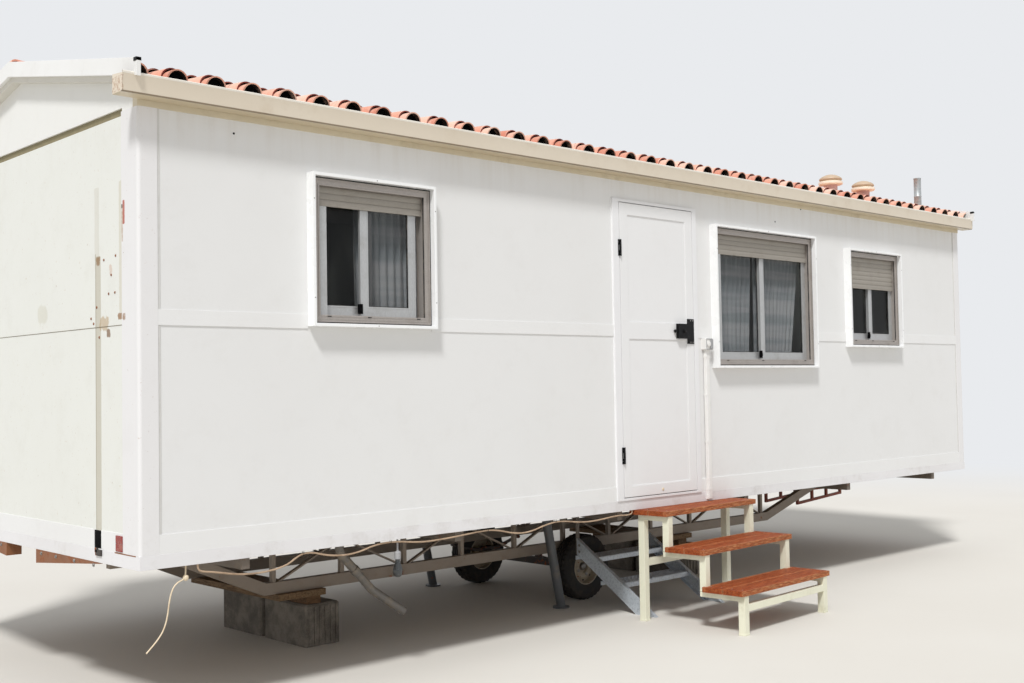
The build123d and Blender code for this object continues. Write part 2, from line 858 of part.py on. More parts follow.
def door_leaf():
    """Framed leaf with an upper and a lower panel recessed on both faces."""
    x0 = door_leaf_left
    x1 = door_leaf_left + door_leaf_width
    front = -door_frame_proud
    back = door_leaf_back
    leaf = block(x0, x1, front, back, door_leaf_bottom, door_leaf_top)
    mid = floor_height + door_mid_rail_level
    fields = [(door_leaf_bottom + door_bottom_rail, mid),
              (mid + door_mid_rail, door_leaf_top - door_top_rail)]
    for low, high in fields:
        for y0, y1 in ((front, front + door_panel_recess), (back - door_panel_recess, back)):
            leaf -= block(x0 + door_stile, x1 - door_stile, y0, y1, low, high)
    return leaf


def hinge(level, moving):
    """One side of a butt hinge: its plate, its knuckles and, on the fixed side, the pin."""
    base = floor_height + level
    step = hinge_height / hinge_knuckles
    face = -door_frame_proud
    thin = hinge_plate_thickness
    reach = hinge_knuckle_radius + hinge_plate_gap
    side = 1 if moving else -1
    near = hinge_axis_x + side * reach
    far = hinge_axis_x + side * hinge_plate_width
    x0, x1 = sorted((near, far))
    piece = block(x0, x1, face - thin, face, base, base + hinge_height)
    hole = Circle(hinge_pin_radius + hinge_pin_clearance)
    for index in range(hinge_knuckles):
        if (index % 2 == 1) != moving:
            continue
        low = base + index * step + hinge_knuckle_gap
        tall = step - 2 * hinge_knuckle_gap
        knuckle = Circle(hinge_knuckle_radius) - hole if moving else Circle(hinge_knuckle_radius)
        barrel = Pos(hinge_axis_x, hinge_axis_y, low) * extrude(knuckle, amount=tall)
        inner = hinge_axis_x + side * (hinge_pin_radius + hinge_strap_gap)
        strap_low, strap_high = sorted((inner, near))
        strap = block(strap_low, strap_high, face - thin, face, low, low + tall)
        piece += barrel + strap
    if not moving:
        pin = Pos(hinge_axis_x, hinge_axis_y, base) * extrude(Circle(hinge_pin_radius), amount=hinge_height)
        piece += pin
    else:
        bore = Pos(hinge_axis_x, hinge_axis_y, base) * extrude(hole, amount=hinge_height)
        piece -= bore
    return piece


def lock():
    """Rim latch: plate, box, key cylinder, a knob that points to the hinges, and an inner plate."""
    right = door_leaf_left + door_leaf_width - lock_edge_gap
    left = right - lock_plate_width
    face = -door_frame_proud
    low = floor_height + lock_plate_level
    middle = low + lock_plate_height / 2
    plate = block(left, right, face - lock_plate_thickness, face, low, low + lock_plate_height)
    body_left = left + lock_body_lap - lock_body_width
    body = block(body_left, left + lock_body_lap, face - lock_body_depth, face,
                 middle - lock_body_height / 2, middle + lock_body_height / 2)
    body_front = face - lock_body_depth
    cylinder = run(Circle(lock_cylinder_radius), (body_left + lock_body_width / 2, body_front, middle),
                   (1, 0, 0), (0, -1, 0), lock_cylinder_reach)
    stem_start = (body_left, face - lock_body_depth / 2, middle)
    stem = run(Circle(lock_stem_radius), stem_start, (0, -1, 0), (-1, 0, 0), lock_knob_reach)
    knob_start = (body_left - lock_knob_reach / 2, face - lock_body_depth / 2, middle)
    knob = run(Circle(lock_knob_radius), knob_start, (0, -1, 0), (-1, 0, 0), lock_knob_reach / 2)
    inner_left = left + lock_inner_plate_shift
    inner = block(inner_left, inner_left + lock_inner_plate_width, door_leaf_back,
                  door_leaf_back + lock_inner_plate_thickness,
                  middle - lock_inner_plate_height / 2, middle + lock_inner_plate_height / 2)
    return plate + body + cylinder + stem + knob, inner


def build_door():
    """Door frame, leaf, hinges and lock."""
    save("door_frame", door_frame())
    save("door_leaf", door_leaf())
    levels = (hinge_low_level, hinge_high_level)
    save("door_hinges_fixed", *[hinge(level, False) for level in levels])
    save("door_hinges_moving", *[hinge(level, True) for level in levels])
    save("door_lock", *lock())


def build_cable_cover():
    """Upright cable cover beside the door and the small box on top of it."""
    low = floor_height + cover_bottom
    high = floor_height + cover_top
    section = Rectangle(cover_width, cover_depth, align=(Align.MIN, Align.MIN))
    cover = Pos(cover_left, -cover_depth, low) * extrude(section, amount=high - low)
    cover = fillet(cover.edges().filter_by(Axis.Z).group_by(Axis.Y)[0], cover_fillet)
    middle = cover_left + cover_width / 2
    box = block(middle - box_width / 2, middle + box_width / 2, panel_setback - box_depth, panel_setback,
                high, high + box_height)
    save("cable_cover", cover + fillet(box.edges().filter_by(Axis.Y), box_fillet))


# Chassis

def strut(x0, z0, x1, z1, y0, y1, width):
    """A flat bar in an upright plane, between two points of that plane."""
    run_length = math.hypot(x1 - x0, z1 - z0)
    nx = -(z1 - z0) / run_length * width / 2
    nz = (x1 - x0) / run_length * width / 2
    return front_plate([(x0 + nx, z0 + nz), (x1 + nx, z1 + nz), (x1 - nx, z1 - nz), (x0 - nx, z0 - nz)],
                       y0, y1)


def bottom_chord(top):
    """Bottom chord whose two ends rise to the underside of the top chord, at the given level."""
    start = girder_bottom_start
    end = length - girder_bottom_inset
    upper = chord_level + chord_height
    left_slant = math.atan2(top - chord_level, girder_left_rise_run)
    right_slant = math.atan2(top - chord_level, girder_right_rise_run)
    outer_left = start - girder_left_rise_run
    outer_right = end + girder_right_rise_run
    outline = [(outer_left, top), (start, chord_level), (end, chord_level), (outer_right, top),
               (outer_right - chord_height / math.sin(right_slant), top),
               (end - chord_height * math.tan(right_slant / 2), upper),
               (start + chord_height * math.tan(left_slant / 2), upper),
               (outer_left + chord_height / math.sin(left_slant), top)]
    return front_plate(outline, girder_setback, girder_setback + chord_width)


def girder_webs(top):
    """Uprights and zigzag diagonals between the chords of one girder."""
    start = girder_bottom_start + chord_height
    end = length - girder_bottom_inset - chord_height
    low = chord_level + chord_height
    y0 = girder_setback + girder_web_inset
    y1 = girder_setback + chord_width - girder_web_inset
    pitch = (end - start) / girder_bays
    webs = []
    for index in range(girder_bays + 1):
        x = start + index * pitch
        webs.append(block(x - girder_bar / 2, x + girder_bar / 2, y0, y1, low, top))
    for index in range(girder_bays):
        near = start + index * pitch + girder_bar / 2 + girder_web_gap
        far = near + pitch - girder_bar - 2 * girder_web_gap
        z0, z1 = (low, top) if index % 2 == 0 else (top, low)
        webs.append(front_plate([(near, z0), (near + girder_diagonal, z0), (far, z1),
                                 (far - girder_diagonal, z1)], y0, y1))
    return webs


def tail_lattice():
    """Short lattice under the right end, its lower bar rising outward under a level middle bar."""
    y0 = tail_lattice_setback
    y1 = tail_lattice_setback + tail_lattice_bar
    top = cross_member_low
    bar = tail_lattice_bar
    start = tail_lattice_end - tail_lattice_length
    beam = block(start, tail_lattice_end, y0, y1, top - bar, top)
    z0 = tail_lattice_low + bar / 2
    z1 = z0 + tail_lattice_rise
    beam += block(start, tail_lattice_end, y0, y1, tail_lattice_middle, tail_lattice_middle + bar)
    beam += strut(start, z0, tail_lattice_end, z1, y0, y1, bar)
    pitch = (tail_lattice_length - bar) / tail_lattice_bays
    for index in range(tail_lattice_bays + 1):
        x = start + index * pitch
        z = z0 + (z1 - z0) * index / tail_lattice_bays
        beam += block(x, x + bar, y0, y1, z - bar / 4, top - bar / 2)
    return beam


def build_chassis():
    """Girders, cross members, axle, springs, wheels and steadies."""
    top_low = cross_member_low - top_chord_height
    upper = block(girder_top_inset, length - girder_top_inset, girder_setback, girder_setback + chord_width,
                  top_low, cross_member_low)
    save("chassis_top_chords", upper, across(upper))
    lower = bottom_chord(top_low)
    save("chassis_bottom_chords", lower, across(lower))
    webs = girder_webs(top_low)
    save("chassis_webs", *webs, *[across(web) for web in webs])
    members = []
    for index in range(cross_member_count):
        x = cross_member_inset + index * cross_member_pitch
        members.append(block(x - cross_member_width / 2, x + cross_member_width / 2, cross_member_setback,
                             depth - cross_member_setback, cross_member_low, floor_height))
    save("chassis_cross_members", *members)
    tail = tail_lattice()
    save("tail_lattices", tail, across(tail))
    taper = [(end_bracket_start, floor_height), (end_bracket_start + end_bracket_reach, floor_height),
             (end_bracket_start + end_bracket_reach, floor_height - end_bracket_drop),
             (end_bracket_start, floor_height - end_bracket_tip)]
    bracket = side_plate(taper, 0, end_bracket_thickness)
    save("end_brackets", bracket, across(bracket))

    wheel_near = girder_setback - wheel_clearance - wheel_width
    axle = block(wheel_centre - axle_size / 2, wheel_centre + axle_size / 2,
                 girder_setback, depth - girder_setback,
                 wheel_radius - axle_size / 2, wheel_radius + axle_size / 2)
    hub_y = wheel_near + hub_setback
    stub = run(Circle(stub_radius), (wheel_centre, hub_y, wheel_radius), (-1, 0, 0), (0, 1, 0),
               girder_setback - hub_y)
    save("axle", axle + stub + across(stub))
    spring = leaf_spring()
    save("leaf_springs", spring, across(spring))
    tyre, rim = wheel(wheel_near)
    save("tyre_front", tyre)
    save("rim_front", rim)
    save("tyre_rear", across(tyre))
    save("rim_rear", across(rim))
    steady = steady_leg()
    save("steady_legs", steady, across(steady))


def leaf_spring():
    """Bowed leaf pack between the girder and the axle."""
    y = girder_setback
    x = wheel_centre
    half = spring_half_length
    top = chord_level
    sag = wheel_radius + axle_size / 2
    eye = top - spring_thickness
    lower = ThreePointArc((x - half, y, eye), (x, y, sag), (x + half, y, eye))
    upper = ThreePointArc((x + half, y, top), (x, y, sag + spring_thickness), (x - half, y, top))
    ends = [Line((x + half, y, eye), (x + half, y, top)), Line((x - half, y, top), (x - half, y, eye))]
    return extrude(make_face([lower, ends[0], upper, ends[1]]), amount=chord_width, dir=(0, 1, 0))


def wheel(near):
    """Tyre and dished rim of one wheel, its outer side at the given depth."""
    w = wheel_width
    r = wheel_radius
    rim = rim_radius
    shoulder = tyre_shoulder
    tyre_profile = [(rim, shoulder / 2), (r - shoulder, 0), (r, shoulder), (r, w - shoulder),
                    (r - shoulder, w), (rim, w - shoulder / 2)]
    bore = stub_radius + stub_clearance
    hub = hub_setback
    dish = hub - dish_depth
    well = rim - rim_wall
    rim_profile = [(bore, hub), (hub_radius, hub), (hub_radius, dish), (rim_dish_radius, dish),
                   (well, w / 2), (well, shoulder / 2), (rim, shoulder / 2), (rim, w - shoulder / 2),
                   (well, w - shoulder / 2), (well, w / 2 + dish_wall), (rim_dish_radius, dish + dish_wall),
                   (hub_radius + dish_wall, dish + dish_wall), (hub_radius + dish_wall, hub + hub_length),
                   (bore, hub + hub_length)]
    spin = Pos(wheel_centre, near, wheel_radius) * Rot(-90, 0, 0)
    solids = []
    for profile in (tyre_profile, rim_profile):
        face = make_face(Plane.XZ * Polyline(*profile, close=True))
        solids.append(spin * revolve(face, Axis.Z))
    return solids


def steady_leg():
    """Leaning support leg with a round foot, under a cross member."""
    top = Vector(steady_x, steady_setback, cross_member_low)
    foot = Vector(steady_x + steady_lean, steady_setback, steady_foot_thickness)
    line = foot - top
    start = top - line.normalized() * steady_trim
    tube = run(Circle(steady_radius), tuple(start), (0, 1, 0), tuple(line), line.length + 2 * steady_trim)
    reach = steady_lean + 2 * steady_radius
    keep = block(steady_x - reach, steady_x + reach, steady_setback - reach, steady_setback + reach,
                 steady_foot_thickness, cross_member_low)
    disc = Pos(foot.X, foot.Y, 0) * extrude(Circle(steady_foot_radius), amount=steady_foot_thickness)
    return (tube & keep) + disc


# Footings

def build_footings():
    """Concrete blocks, wedges and bearing planks under the girders."""
    blocks = []
    wedges = []
    planks = []
    wedge_top = block_height + wedge_height
    for x in (block_left, block_right):
        base = block(x, x + block_width, girder_setback, girder_setback + block_length, 0, block_height)
        base = chamfer(base.edges().filter_by(Axis.Z) + base.edges().group_by(Axis.Z)[-1], block_edge)
        plank_x = x - plank_shift
        planks.append(block(plank_x, plank_x + plank_width, girder_setback - plank_overhang,
                            depth - girder_setback + plank_overhang, wedge_top, wedge_top + plank_thickness))
        wedge_y = girder_setback + wedge_inset
        wedge = block(x + wedge_inset, plank_x + plank_width, wedge_y, wedge_y + wedge_length,
                      block_height, wedge_top)
        blocks += [base, across(base)]
        wedges += [wedge, across(wedge)]
    save("concrete_blocks", *blocks)
    save("timber_wedges", *wedges)
    save("bearing_planks", *planks)


# Steps

def tread_y(index):
    """Front edge of a tread, counted from the lowest."""
    return -steps_front + index * tread_going


def tread_low(index):
    """Underside of a tread, counted from the lowest."""
    return floor_height - seat_gap - tread_thickness - tread_rise * (tread_count - 1 - index)


def step_side(x):
    """One side frame of the wooden steps: a rail under each tread, short uprights and a back leg."""
    leg = step_leg
    back = tread_y(tread_count - 1) + tread_depth - step_back_inset
    frame = block(x, x + leg, back - leg, back, 0, tread_low(tread_count - 1))
    for index in range(tread_count):
        low = tread_low(index)
        front = tread_y(index) + step_front_inset
        foot = 0 if index == 0 else low - tread_rise
        end = back if index == tread_count - 1 else tread_y(index + 1) + step_front_inset + leg
        frame += block(x, x + leg, front, front + leg, foot, low)
        frame += block(x, x + leg, front, end, low - step_rail, low)
    return frame


def tread_boards(index):
    """Two boards of a tread, the rear one notched round the uprights of the tread above."""
    right = tread_left + tread_width
    low = tread_low(index)
    width = (tread_depth - tread_board_gap) / 2
    boards = []
    for board in range(2):
        y0 = tread_y(index) + board * (width + tread_board_gap)
        boards.append(block(tread_left, right, y0, y0 + width, low, low + tread_thickness))
    if index < tread_count - 1:
        gap = step_notch_gap
        y0 = tread_y(index + 1) + step_front_inset - gap
        for x in (tread_left + step_side_inset, right - step_side_inset - step_leg):
            boards[-1] -= block(x - gap, x + step_leg + gap, y0, y0 + step_leg + 2 * gap,
                                low, low + tread_thickness)
    return boards


def build_wooden_steps():
    """Three board treads on a welded frame of square tube, standing slightly askew."""
    treads = [board for index in range(tread_count) for board in tread_boards(index)]
    inner_left = tread_left + step_side_inset + step_leg
    inner_right = tread_left + tread_width - step_side_inset - step_leg
    front = tread_y(0) + step_front_inset
    back = tread_y(tread_count - 1) + tread_depth - step_back_inset
    frame = step_side(inner_left - step_leg) + step_side(inner_right)
    frame += block(inner_left, inner_right, front, front + step_tie,
                   step_tie_level, step_tie_level + step_tie)
    frame += block(inner_left, inner_right, back - step_rail, back,
                   step_back_tie_level, step_back_tie_level + step_back_tie_height)
    turn = Pos(tread_left, -steps_front, 0) * Rot(0, 0, steps_turn) * Pos(-tread_left, steps_front, 0)
    save("step_frame", turn * frame)
    save("step_treads", *[turn * board for board in treads])


def metal_stringer(x0, x1, groove_x0, groove_x1):
    """One sloping channel stringer, hollowed between its flanges."""
    incline = metal_top_level / (metal_top - metal_foot)
    drop = metal_web * math.hypot(1, incline)
    wall_drop = metal_wall * math.hypot(1, incline)
    outline = [(metal_foot, 0), (metal_foot + drop / incline, 0), (metal_top, metal_top_level - drop),
               (metal_top, metal_top_level)]
    y0 = metal_foot - metal_web
    y1 = metal_top + metal_web
    z0 = -metal_web * incline
    z1 = metal_top_level + metal_web * incline
    groove = [(y0, z0 - wall_drop), (y0, z0 - drop + wall_drop),
              (y1, z1 - drop + wall_drop), (y1, z1 - wall_drop)]
    return side_plate(outline, x0, x1) - side_plate(groove, groove_x0, groove_x1)


def build_metal_steps():
    """Channel stringers hung from a bearer, with folded treads welded between them."""
    right = metal_left + metal_width
    flange = metal_flange
    steps = metal_stringer(metal_left, metal_left + flange, metal_left + metal_wall, metal_left + flange)
    steps += metal_stringer(right - flange, right, right - flange, right - metal_wall)
    incline = metal_top_level / (metal_top - metal_foot)
    section = Rectangle(metal_tread_depth, metal_tread_height, align=(Align.MIN, Align.MIN))
    section -= Pos(metal_wall, -metal_wall) * Rectangle(
        metal_tread_depth - 2 * metal_wall, metal_tread_height, align=(Align.MIN, Align.MIN))
    for index in range(metal_tread_count):
        z = metal_tread_first + index * metal_tread_rise
        y = metal_foot + z / incline + metal_tread_setback
        steps += run(section, (right - metal_wall, y + metal_tread_depth, z), (0, -1, 0), (-1, 0, 0),
                     metal_width - 2 * metal_wall)
    save("metal_steps", steps)

    drop = metal_web * math.hypot(1, incline)
    bearer_x0 = steady_x + cross_member_width / 2
    bearer_x1 = bearer_x0 + cross_member_pitch - cross_member_width
    bearer = block(bearer_x0, bearer_x1, metal_top, metal_top + metal_bearer, cross_member_low, floor_height)
    for x in (metal_left, right - flange):
        bearer += block(x, x + flange, metal_top, metal_top + metal_hanger, metal_top_level - drop,
                        cross_member_low)
    save("metal_step_hanger", bearer)


# Cables and lamp

def cord_path(points):
    """Straight runs joined by arcs, each as large as its two runs allow."""
    corners = [Vector(*point) for point in points]
    radii = []
    for before, here, after in zip(corners, corners[1:], corners[2:]):
        turn = math.radians((here - before).get_angle(after - here))
        shorter = min((here - before).length, (after - here).length)
        radii.append(cord_arc_share * shorter / math.tan(turn / 2))
    print("smallest radius", round(min(radii), 1), "of", len(radii))
    return FilletPolyline(*corners, radius=radii)


def cord_tube(points, radius):
    """Many sided tube along a cord's route."""
    path = cord_path(points)
    section = Plane(origin=path @ 0, z_dir=path % 0) * RegularPolygon(radius, cord_sides)
    tube = sweep(section, path=path)
    print("tube volume against section times length", tube.volume / (section.area * path.length))
    print("length", round(path.length))
    return tube


def build_cables():
    """Cable along the front edge of the base, a loose lead beside it, and a lamp on a short flex."""
    route = [(x, base_cable_setback, z) for x, z in base_cable_route]
    save("base_cable", cord_tube(route, base_cable_radius))
    save("loose_lead", cord_tube(loose_lead_route, loose_lead_radius))
    save("pendant_lamp", Pos(lamp_left, lamp_setback, floor_height) * lamp())


def lamp():
    """Lamp on a short flex: a straight holder and a bulb with a round end, hanging down from the origin."""
    flex_end = -lamp_flex_length
    holder_end = flex_end - lamp_holder_length
    round_radius = lamp_bulb_radius
    widest = holder_end - lamp_bulb_length + round_radius
    halfway = round_radius * math.sqrt(0.5)
    side = Polyline((0, 0), (lamp_flex_radius, 0), (lamp_flex_radius, flex_end),
                    (lamp_holder_radius, flex_end), (lamp_holder_radius, holder_end),
                    (lamp_neck_radius, holder_end), (round_radius, widest))
    end = ThreePointArc((round_radius, widest), (halfway, widest - halfway), (0, widest - round_radius))
    outline = [side, end, Line((0, widest - round_radius), (0, 0))]
    return revolve(Plane.XZ * make_face(outline), Axis.Z)


def build_waste_pipe():
    """Waste pipe that comes down through the floor and ends in the open."""
    top = (waste_left, waste_setback, channel_top)
    bend = (waste_left, waste_setback, waste_bend_level)
    low = (waste_left + waste_knee_reach, waste_setback, waste_knee_level)
    end = (waste_left + waste_end_reach, waste_setback - waste_end_turn, waste_end_level)
    path = FilletPolyline(top, bend, low, end, radius=waste_bend_radius)
    section = Plane(origin=top, z_dir=path % 0) * Circle(waste_radius)
    inner = Plane(origin=top, z_dir=path % 0) * Circle(waste_radius - waste_wall)
    save("waste_pipe", sweep(section, path=path) - sweep(inner, path=path))


os.makedirs("parts", exist_ok=True)
build_floor()
build_walls()
build_rails()
build_roof()
build_gutters()
build_roof_fittings()
build_windows()
build_door()
build_cable_cover()
build_chassis()
build_footings()
build_wooden_steps()
build_metal_steps()
build_cables()
build_waste_pipe()
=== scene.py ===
"""Dresses a mobile home on its lattice chassis: finishes, fine pieces, cables, curtains and a pale studio."""

import logging
import math
import random
from dataclasses import dataclass, field
from enum import Enum

import bmesh
import bpy
from mathutils import Matrix, Vector


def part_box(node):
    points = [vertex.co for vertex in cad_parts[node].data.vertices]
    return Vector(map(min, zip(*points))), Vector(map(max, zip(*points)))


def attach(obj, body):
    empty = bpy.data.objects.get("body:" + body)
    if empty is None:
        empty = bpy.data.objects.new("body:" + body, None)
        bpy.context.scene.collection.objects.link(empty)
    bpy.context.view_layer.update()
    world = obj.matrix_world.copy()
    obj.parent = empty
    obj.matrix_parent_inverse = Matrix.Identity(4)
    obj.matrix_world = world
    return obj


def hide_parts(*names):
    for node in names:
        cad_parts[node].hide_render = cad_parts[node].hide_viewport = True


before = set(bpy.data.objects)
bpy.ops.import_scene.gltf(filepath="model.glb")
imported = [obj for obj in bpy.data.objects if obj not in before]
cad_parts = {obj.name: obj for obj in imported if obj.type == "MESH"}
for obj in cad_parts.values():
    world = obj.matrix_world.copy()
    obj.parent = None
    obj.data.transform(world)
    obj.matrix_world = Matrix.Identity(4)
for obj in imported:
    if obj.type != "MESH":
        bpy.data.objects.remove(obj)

LOG = logging.getLogger("mobile_home")
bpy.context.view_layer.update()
MM = 0.001
CORNER, FAR_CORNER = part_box("eave_beams")
LENGTH = (FAR_CORNER.x - CORNER.x) / MM
DEPTH = (FAR_CORNER.y - CORNER.y) / MM

# Directions, with OUT and IN as seen from the front wall.
UP, DOWN, LEFT = (0, 0, 1), (0, 0, -1), (-1, 0, 0)
OUT, IN = (0, -1, 0), (0, 1, 0)

# Eased edges: metres within which corners join, facets across an edge, and least angle in degrees.
WELD_GAP = 0.00002
EDGE_FACETS = 2
EDGE_ANGLE = 40

Triple = tuple[float, float, float]
Pair = tuple[float, float]
Socket = bpy.types.NodeSocket
Corner = bmesh.types.BMVert
Piece = bpy.types.Object


class Body(Enum):
    """Body that a piece moves with."""

    HOME = "home"
    DOOR = "door"
    WHEEL_FRONT = "wheel_front"
    WHEEL_REAR = "wheel_rear"


class Slot(Enum):
    """Material slot of the record, handed to each new piece but not used."""

    WHITE_PAINT = "white_paint"
    FRAME_PAINT = "frame_paint"
    CREAM_PAINT = "cream_paint"
    ROOF_TILE = "roof_tile"
    WINDOW_METAL = "window_metal"
    SHUTTER_SLAT = "shutter_slat"
    CURTAIN_CLOTH = "curtain_cloth"
    DOOR_PAINT = "door_paint"
    BLACK_IRON = "black_iron"
    WHITE_PLASTIC = "white_plastic"
    CHASSIS_PAINT = "chassis_paint"
    OXIDE_PRIMER = "oxide_primer"
    ZINC = "zinc"
    TYRE_RUBBER = "tyre_rubber"
    RIM_PAINT = "rim_paint"
    BLOCK_CONCRETE = "block_concrete"
    TREAD_WOOD = "tread_wood"
    STEP_PAINT = "step_paint"
    GREY_PIPE = "grey_pipe"
    CABLE_SHEATH = "cable_sheath"
    LAMP_GLASS = "lamp_glass"


class Sum(Enum):
    """Arithmetic between two values of a finish."""

    ADD = "ADD"
    SUBTRACT = "SUBTRACT"
    MULTIPLY = "MULTIPLY"
    MAXIMUM = "MAXIMUM"
    ABSOLUTE = "ABSOLUTE"


class Along(Enum):
    """Direction of a wood grain or a brushed line."""

    X = (1.0, 14.0, 14.0)
    Y = (14.0, 1.0, 14.0)
    Z = (14.0, 14.0, 1.0)


def spot(x: float, y: float, z: float) -> Vector:
    """Turn drawing millimetres into a point of the row frame.

    Args:
        x: distance from the left end face, along the front.
        y: distance from the front face, into the home.
        z: height above the ground.

    Returns:
        The point in metres.
    """
    return Vector((CORNER.x + x * MM, CORNER.y + y * MM, z * MM))


def hue(code: str) -> tuple[float, float, float, float]:
    """Turn a hex colour into the linear values that a shader takes.

    Args:
        code: colour as #rrggbb.

    Returns:
        Linear red, green, blue and an alpha of one.
    """
    parts = [int(code[i:i + 2], 16) / 255 for i in (1, 3, 5)]
    lit = [p / 12.92 if p <= 0.04045 else ((p + 0.055) / 1.055) ** 2.4 for p in parts]
    return lit[0], lit[1], lit[2], 1.0


def around(count: int, start: float = 0.0) -> list[Pair]:
    """Cosine and sine of turns that are spread evenly round a circle."""
    turns = [start + 2 * math.pi * k / count for k in range(count)]
    return [(math.cos(turn), math.sin(turn)) for turn in turns]


def placed(name: str, data: bpy.types.ID) -> Piece:
    """Put data into the scene as an object.

    Args:
        name: name of the object.
        data: its mesh, curve, camera or light.

    Returns:
        The object.
    """
    piece = bpy.data.objects.new(name, data)
    bpy.context.scene.collection.objects.link(piece)
    return piece


class NodeSheet:
    """Node tree of one finish, with short calls for the patterns that finishes share."""

    def __init__(self, owner: bpy.types.Material | bpy.types.World) -> None:
        """Start from the plain shader and output.

        Args:
            owner: new material or world.
        """
        owner.use_nodes = True
        self.owner = owner
        self.tree = owner.node_tree
        self.shader, self.output = sorted(self.tree.nodes, key=lambda node: node.type.startswith("OUTPUT"))
        self.place = self.add("TexCoord").outputs["Object"]
        self.split = None
        self.normal = None

    def add(self, kind: str, feeds: dict[str | int, object] | None = None,
            **settings: object) -> bpy.types.Node:
        """Add a node.

        Args:
            kind: class name of the node, without its first word.
            feeds: what feeds its inputs, by name or number.
            settings: properties to set on it.

        Returns:
            The new node.
        """
        node = self.tree.nodes.new(f"ShaderNode{kind}")
        for key, value in settings.items():
            setattr(node, key, value)
        for key, value in (feeds or {}).items():
            self.fill(node.inputs[key], value)
        return node

    def fill(self, target: Socket, value: object) -> None:
        """Feed a socket from another socket or with a constant.

        Args:
            target: socket that is fed.
            value: output socket, number, vector or hex colour, or None to leave it.
        """
        if isinstance(value, Socket):
            self.tree.links.new(value, target)
        elif value is not None:
            target.default_value = hue(value) if isinstance(value, str) else value

    def askew(self, degrees: float, pivot: Triple) -> None:
        """Turn the pattern about a drawing point, with a piece that stands askew."""
        feeds = {"Vector": self.place, "Center": spot(*pivot), "Angle": -math.radians(degrees)}
        self.place = self.add("VectorRotate", feeds, rotation_type="Z_AXIS").outputs[0]

    def stretched(self, stretch: Triple) -> Socket:
        """Position scaled by its own factor along each axis."""
        return self.add("VectorMath", {0: self.place, 1: stretch}, operation="MULTIPLY").outputs[0]

    def noise(self, scale: float, detail: float = 3.0, rough: float = 0.5, stretch: Triple | None = None,
              twist: float = 0.0) -> Socket:
        """Cloudy value from zero to one, with scale patches a metre and finer layers in them."""
        place = self.stretched(stretch) if stretch else self.place
        return self.add("TexNoise", {"Vector": place, "Scale": scale, "Detail": detail, "Roughness": rough,
                                     "Distortion": twist}).outputs[0]

    def cells(self, scale: float) -> Socket:
        """Distance to the nearest cell centre, with scale cells a metre."""
        return self.add("TexVoronoi", {"Vector": self.place, "Scale": scale}).outputs["Distance"]

    def bars(self, scale: float, axis: str, twist: float) -> Socket:
        """Parallel waves from zero to one across the X, Y or Z axis, wandering by twist."""
        return self.add("TexWave", {"Vector": self.place, "Scale": scale, "Distortion": twist},
                        bands_direction=axis).outputs["Fac"]

    def tile_tone(self, size: Triple, shift: Triple) -> Socket:
        """One random value for each cell of a regular grid.

        Args:
            size: cell size in metres.
            shift: where the grid starts.

        Returns:
            Value from zero to one.
        """
        moved = self.add("VectorMath", {0: self.place, 1: shift}, operation="SUBTRACT").outputs[0]
        snapped = self.add("VectorMath", {0: moved, 1: size}, operation="SNAP").outputs[0]
        return self.add("TexWhiteNoise", {"Vector": snapped}).outputs["Value"]

    def axis(self, index: int) -> Socket:
        """Position along one axis, 0 for X, 1 for Y and 2 for Z."""
        self.split = self.split or self.add("SeparateXYZ", {0: self.place})
        return self.split.outputs[index]

    def span(self, value: object, low: float, high: float, start: float = 0.0, end: float = 1.0) -> Socket:
        """Ease from start to end while the value goes from low to high."""
        return self.add("MapRange", {"Value": value, "From Min": low, "From Max": high, "To Min": start,
                                     "To Max": end}, interpolation_type="SMOOTHSTEP").outputs[0]

    def sum(self, kind: Sum, first: object, second: object = None) -> Socket:
        """Arithmetic between two values."""
        return self.add("Math", {0: first, 1: second}, operation=kind.value).outputs[0]

    def times(self, first: object, second: object) -> Socket:
        """Product of two values."""
        return self.sum(Sum.MULTIPLY, first, second)

    def mix(self, share: object, first: object, second: object) -> Socket:
        """Lay a share of the second colour over the first one."""
        return self.add("Mix", {0: share, 6: first, 7: second}, data_type="RGBA").outputs[2]

    def area(self, low: Triple, high: Triple, soft: float) -> Socket:
        """Mask of a box in drawing millimetres.

        Args:
            low: lowest corner.
            high: highest corner.
            soft: width of its soft border.

        Returns:
            One inside the box and zero outside.
        """
        mask: object = 1.0
        for index, (a, b) in enumerate(zip(spot(*low), spot(*high))):
            rise = self.span(self.axis(index), a - soft * MM, a)
            fall = self.span(self.axis(index), b, b + soft * MM, 1.0, 0.0)
            mask = self.times(mask, self.times(rise, fall))
        return mask

    def bump(self, height: Socket, depth: float, strength: float = 1.0) -> None:
        """Add relief of a depth in millimetres to the surface."""
        self.normal = self.add("Bump", {"Strength": strength, "Distance": depth * MM, "Height": height,
                                        "Normal": self.normal}).outputs[0]

    def shown(self) -> Socket:
        """Value that is one for rays from the camera, a reflection or glass.

        Returns:
            The value.
        """
        rays = self.add("LightPath").outputs
        mirrored = self.sum(Sum.MAXIMUM, rays["Is Camera Ray"], rays["Is Glossy Ray"])
        return self.sum(Sum.MAXIMUM, mirrored, rays["Is Transmission Ray"])

    def done(self, colour: object, rough: object, **sockets: object) -> bpy.types.Material:
        """Feed the shader.

        Args:
            colour: base colour.
            rough: roughness.
            sockets: other sockets by name, with _ for a space.

        Returns:
            The finished material.
        """
        feeds = {"Base_Color": colour, "Roughness": rough, "Normal": self.normal, **sockets}
        for key, value in feeds.items():
            self.fill(self.shader.inputs[key.replace("_", " ")], value)
        return self.owner


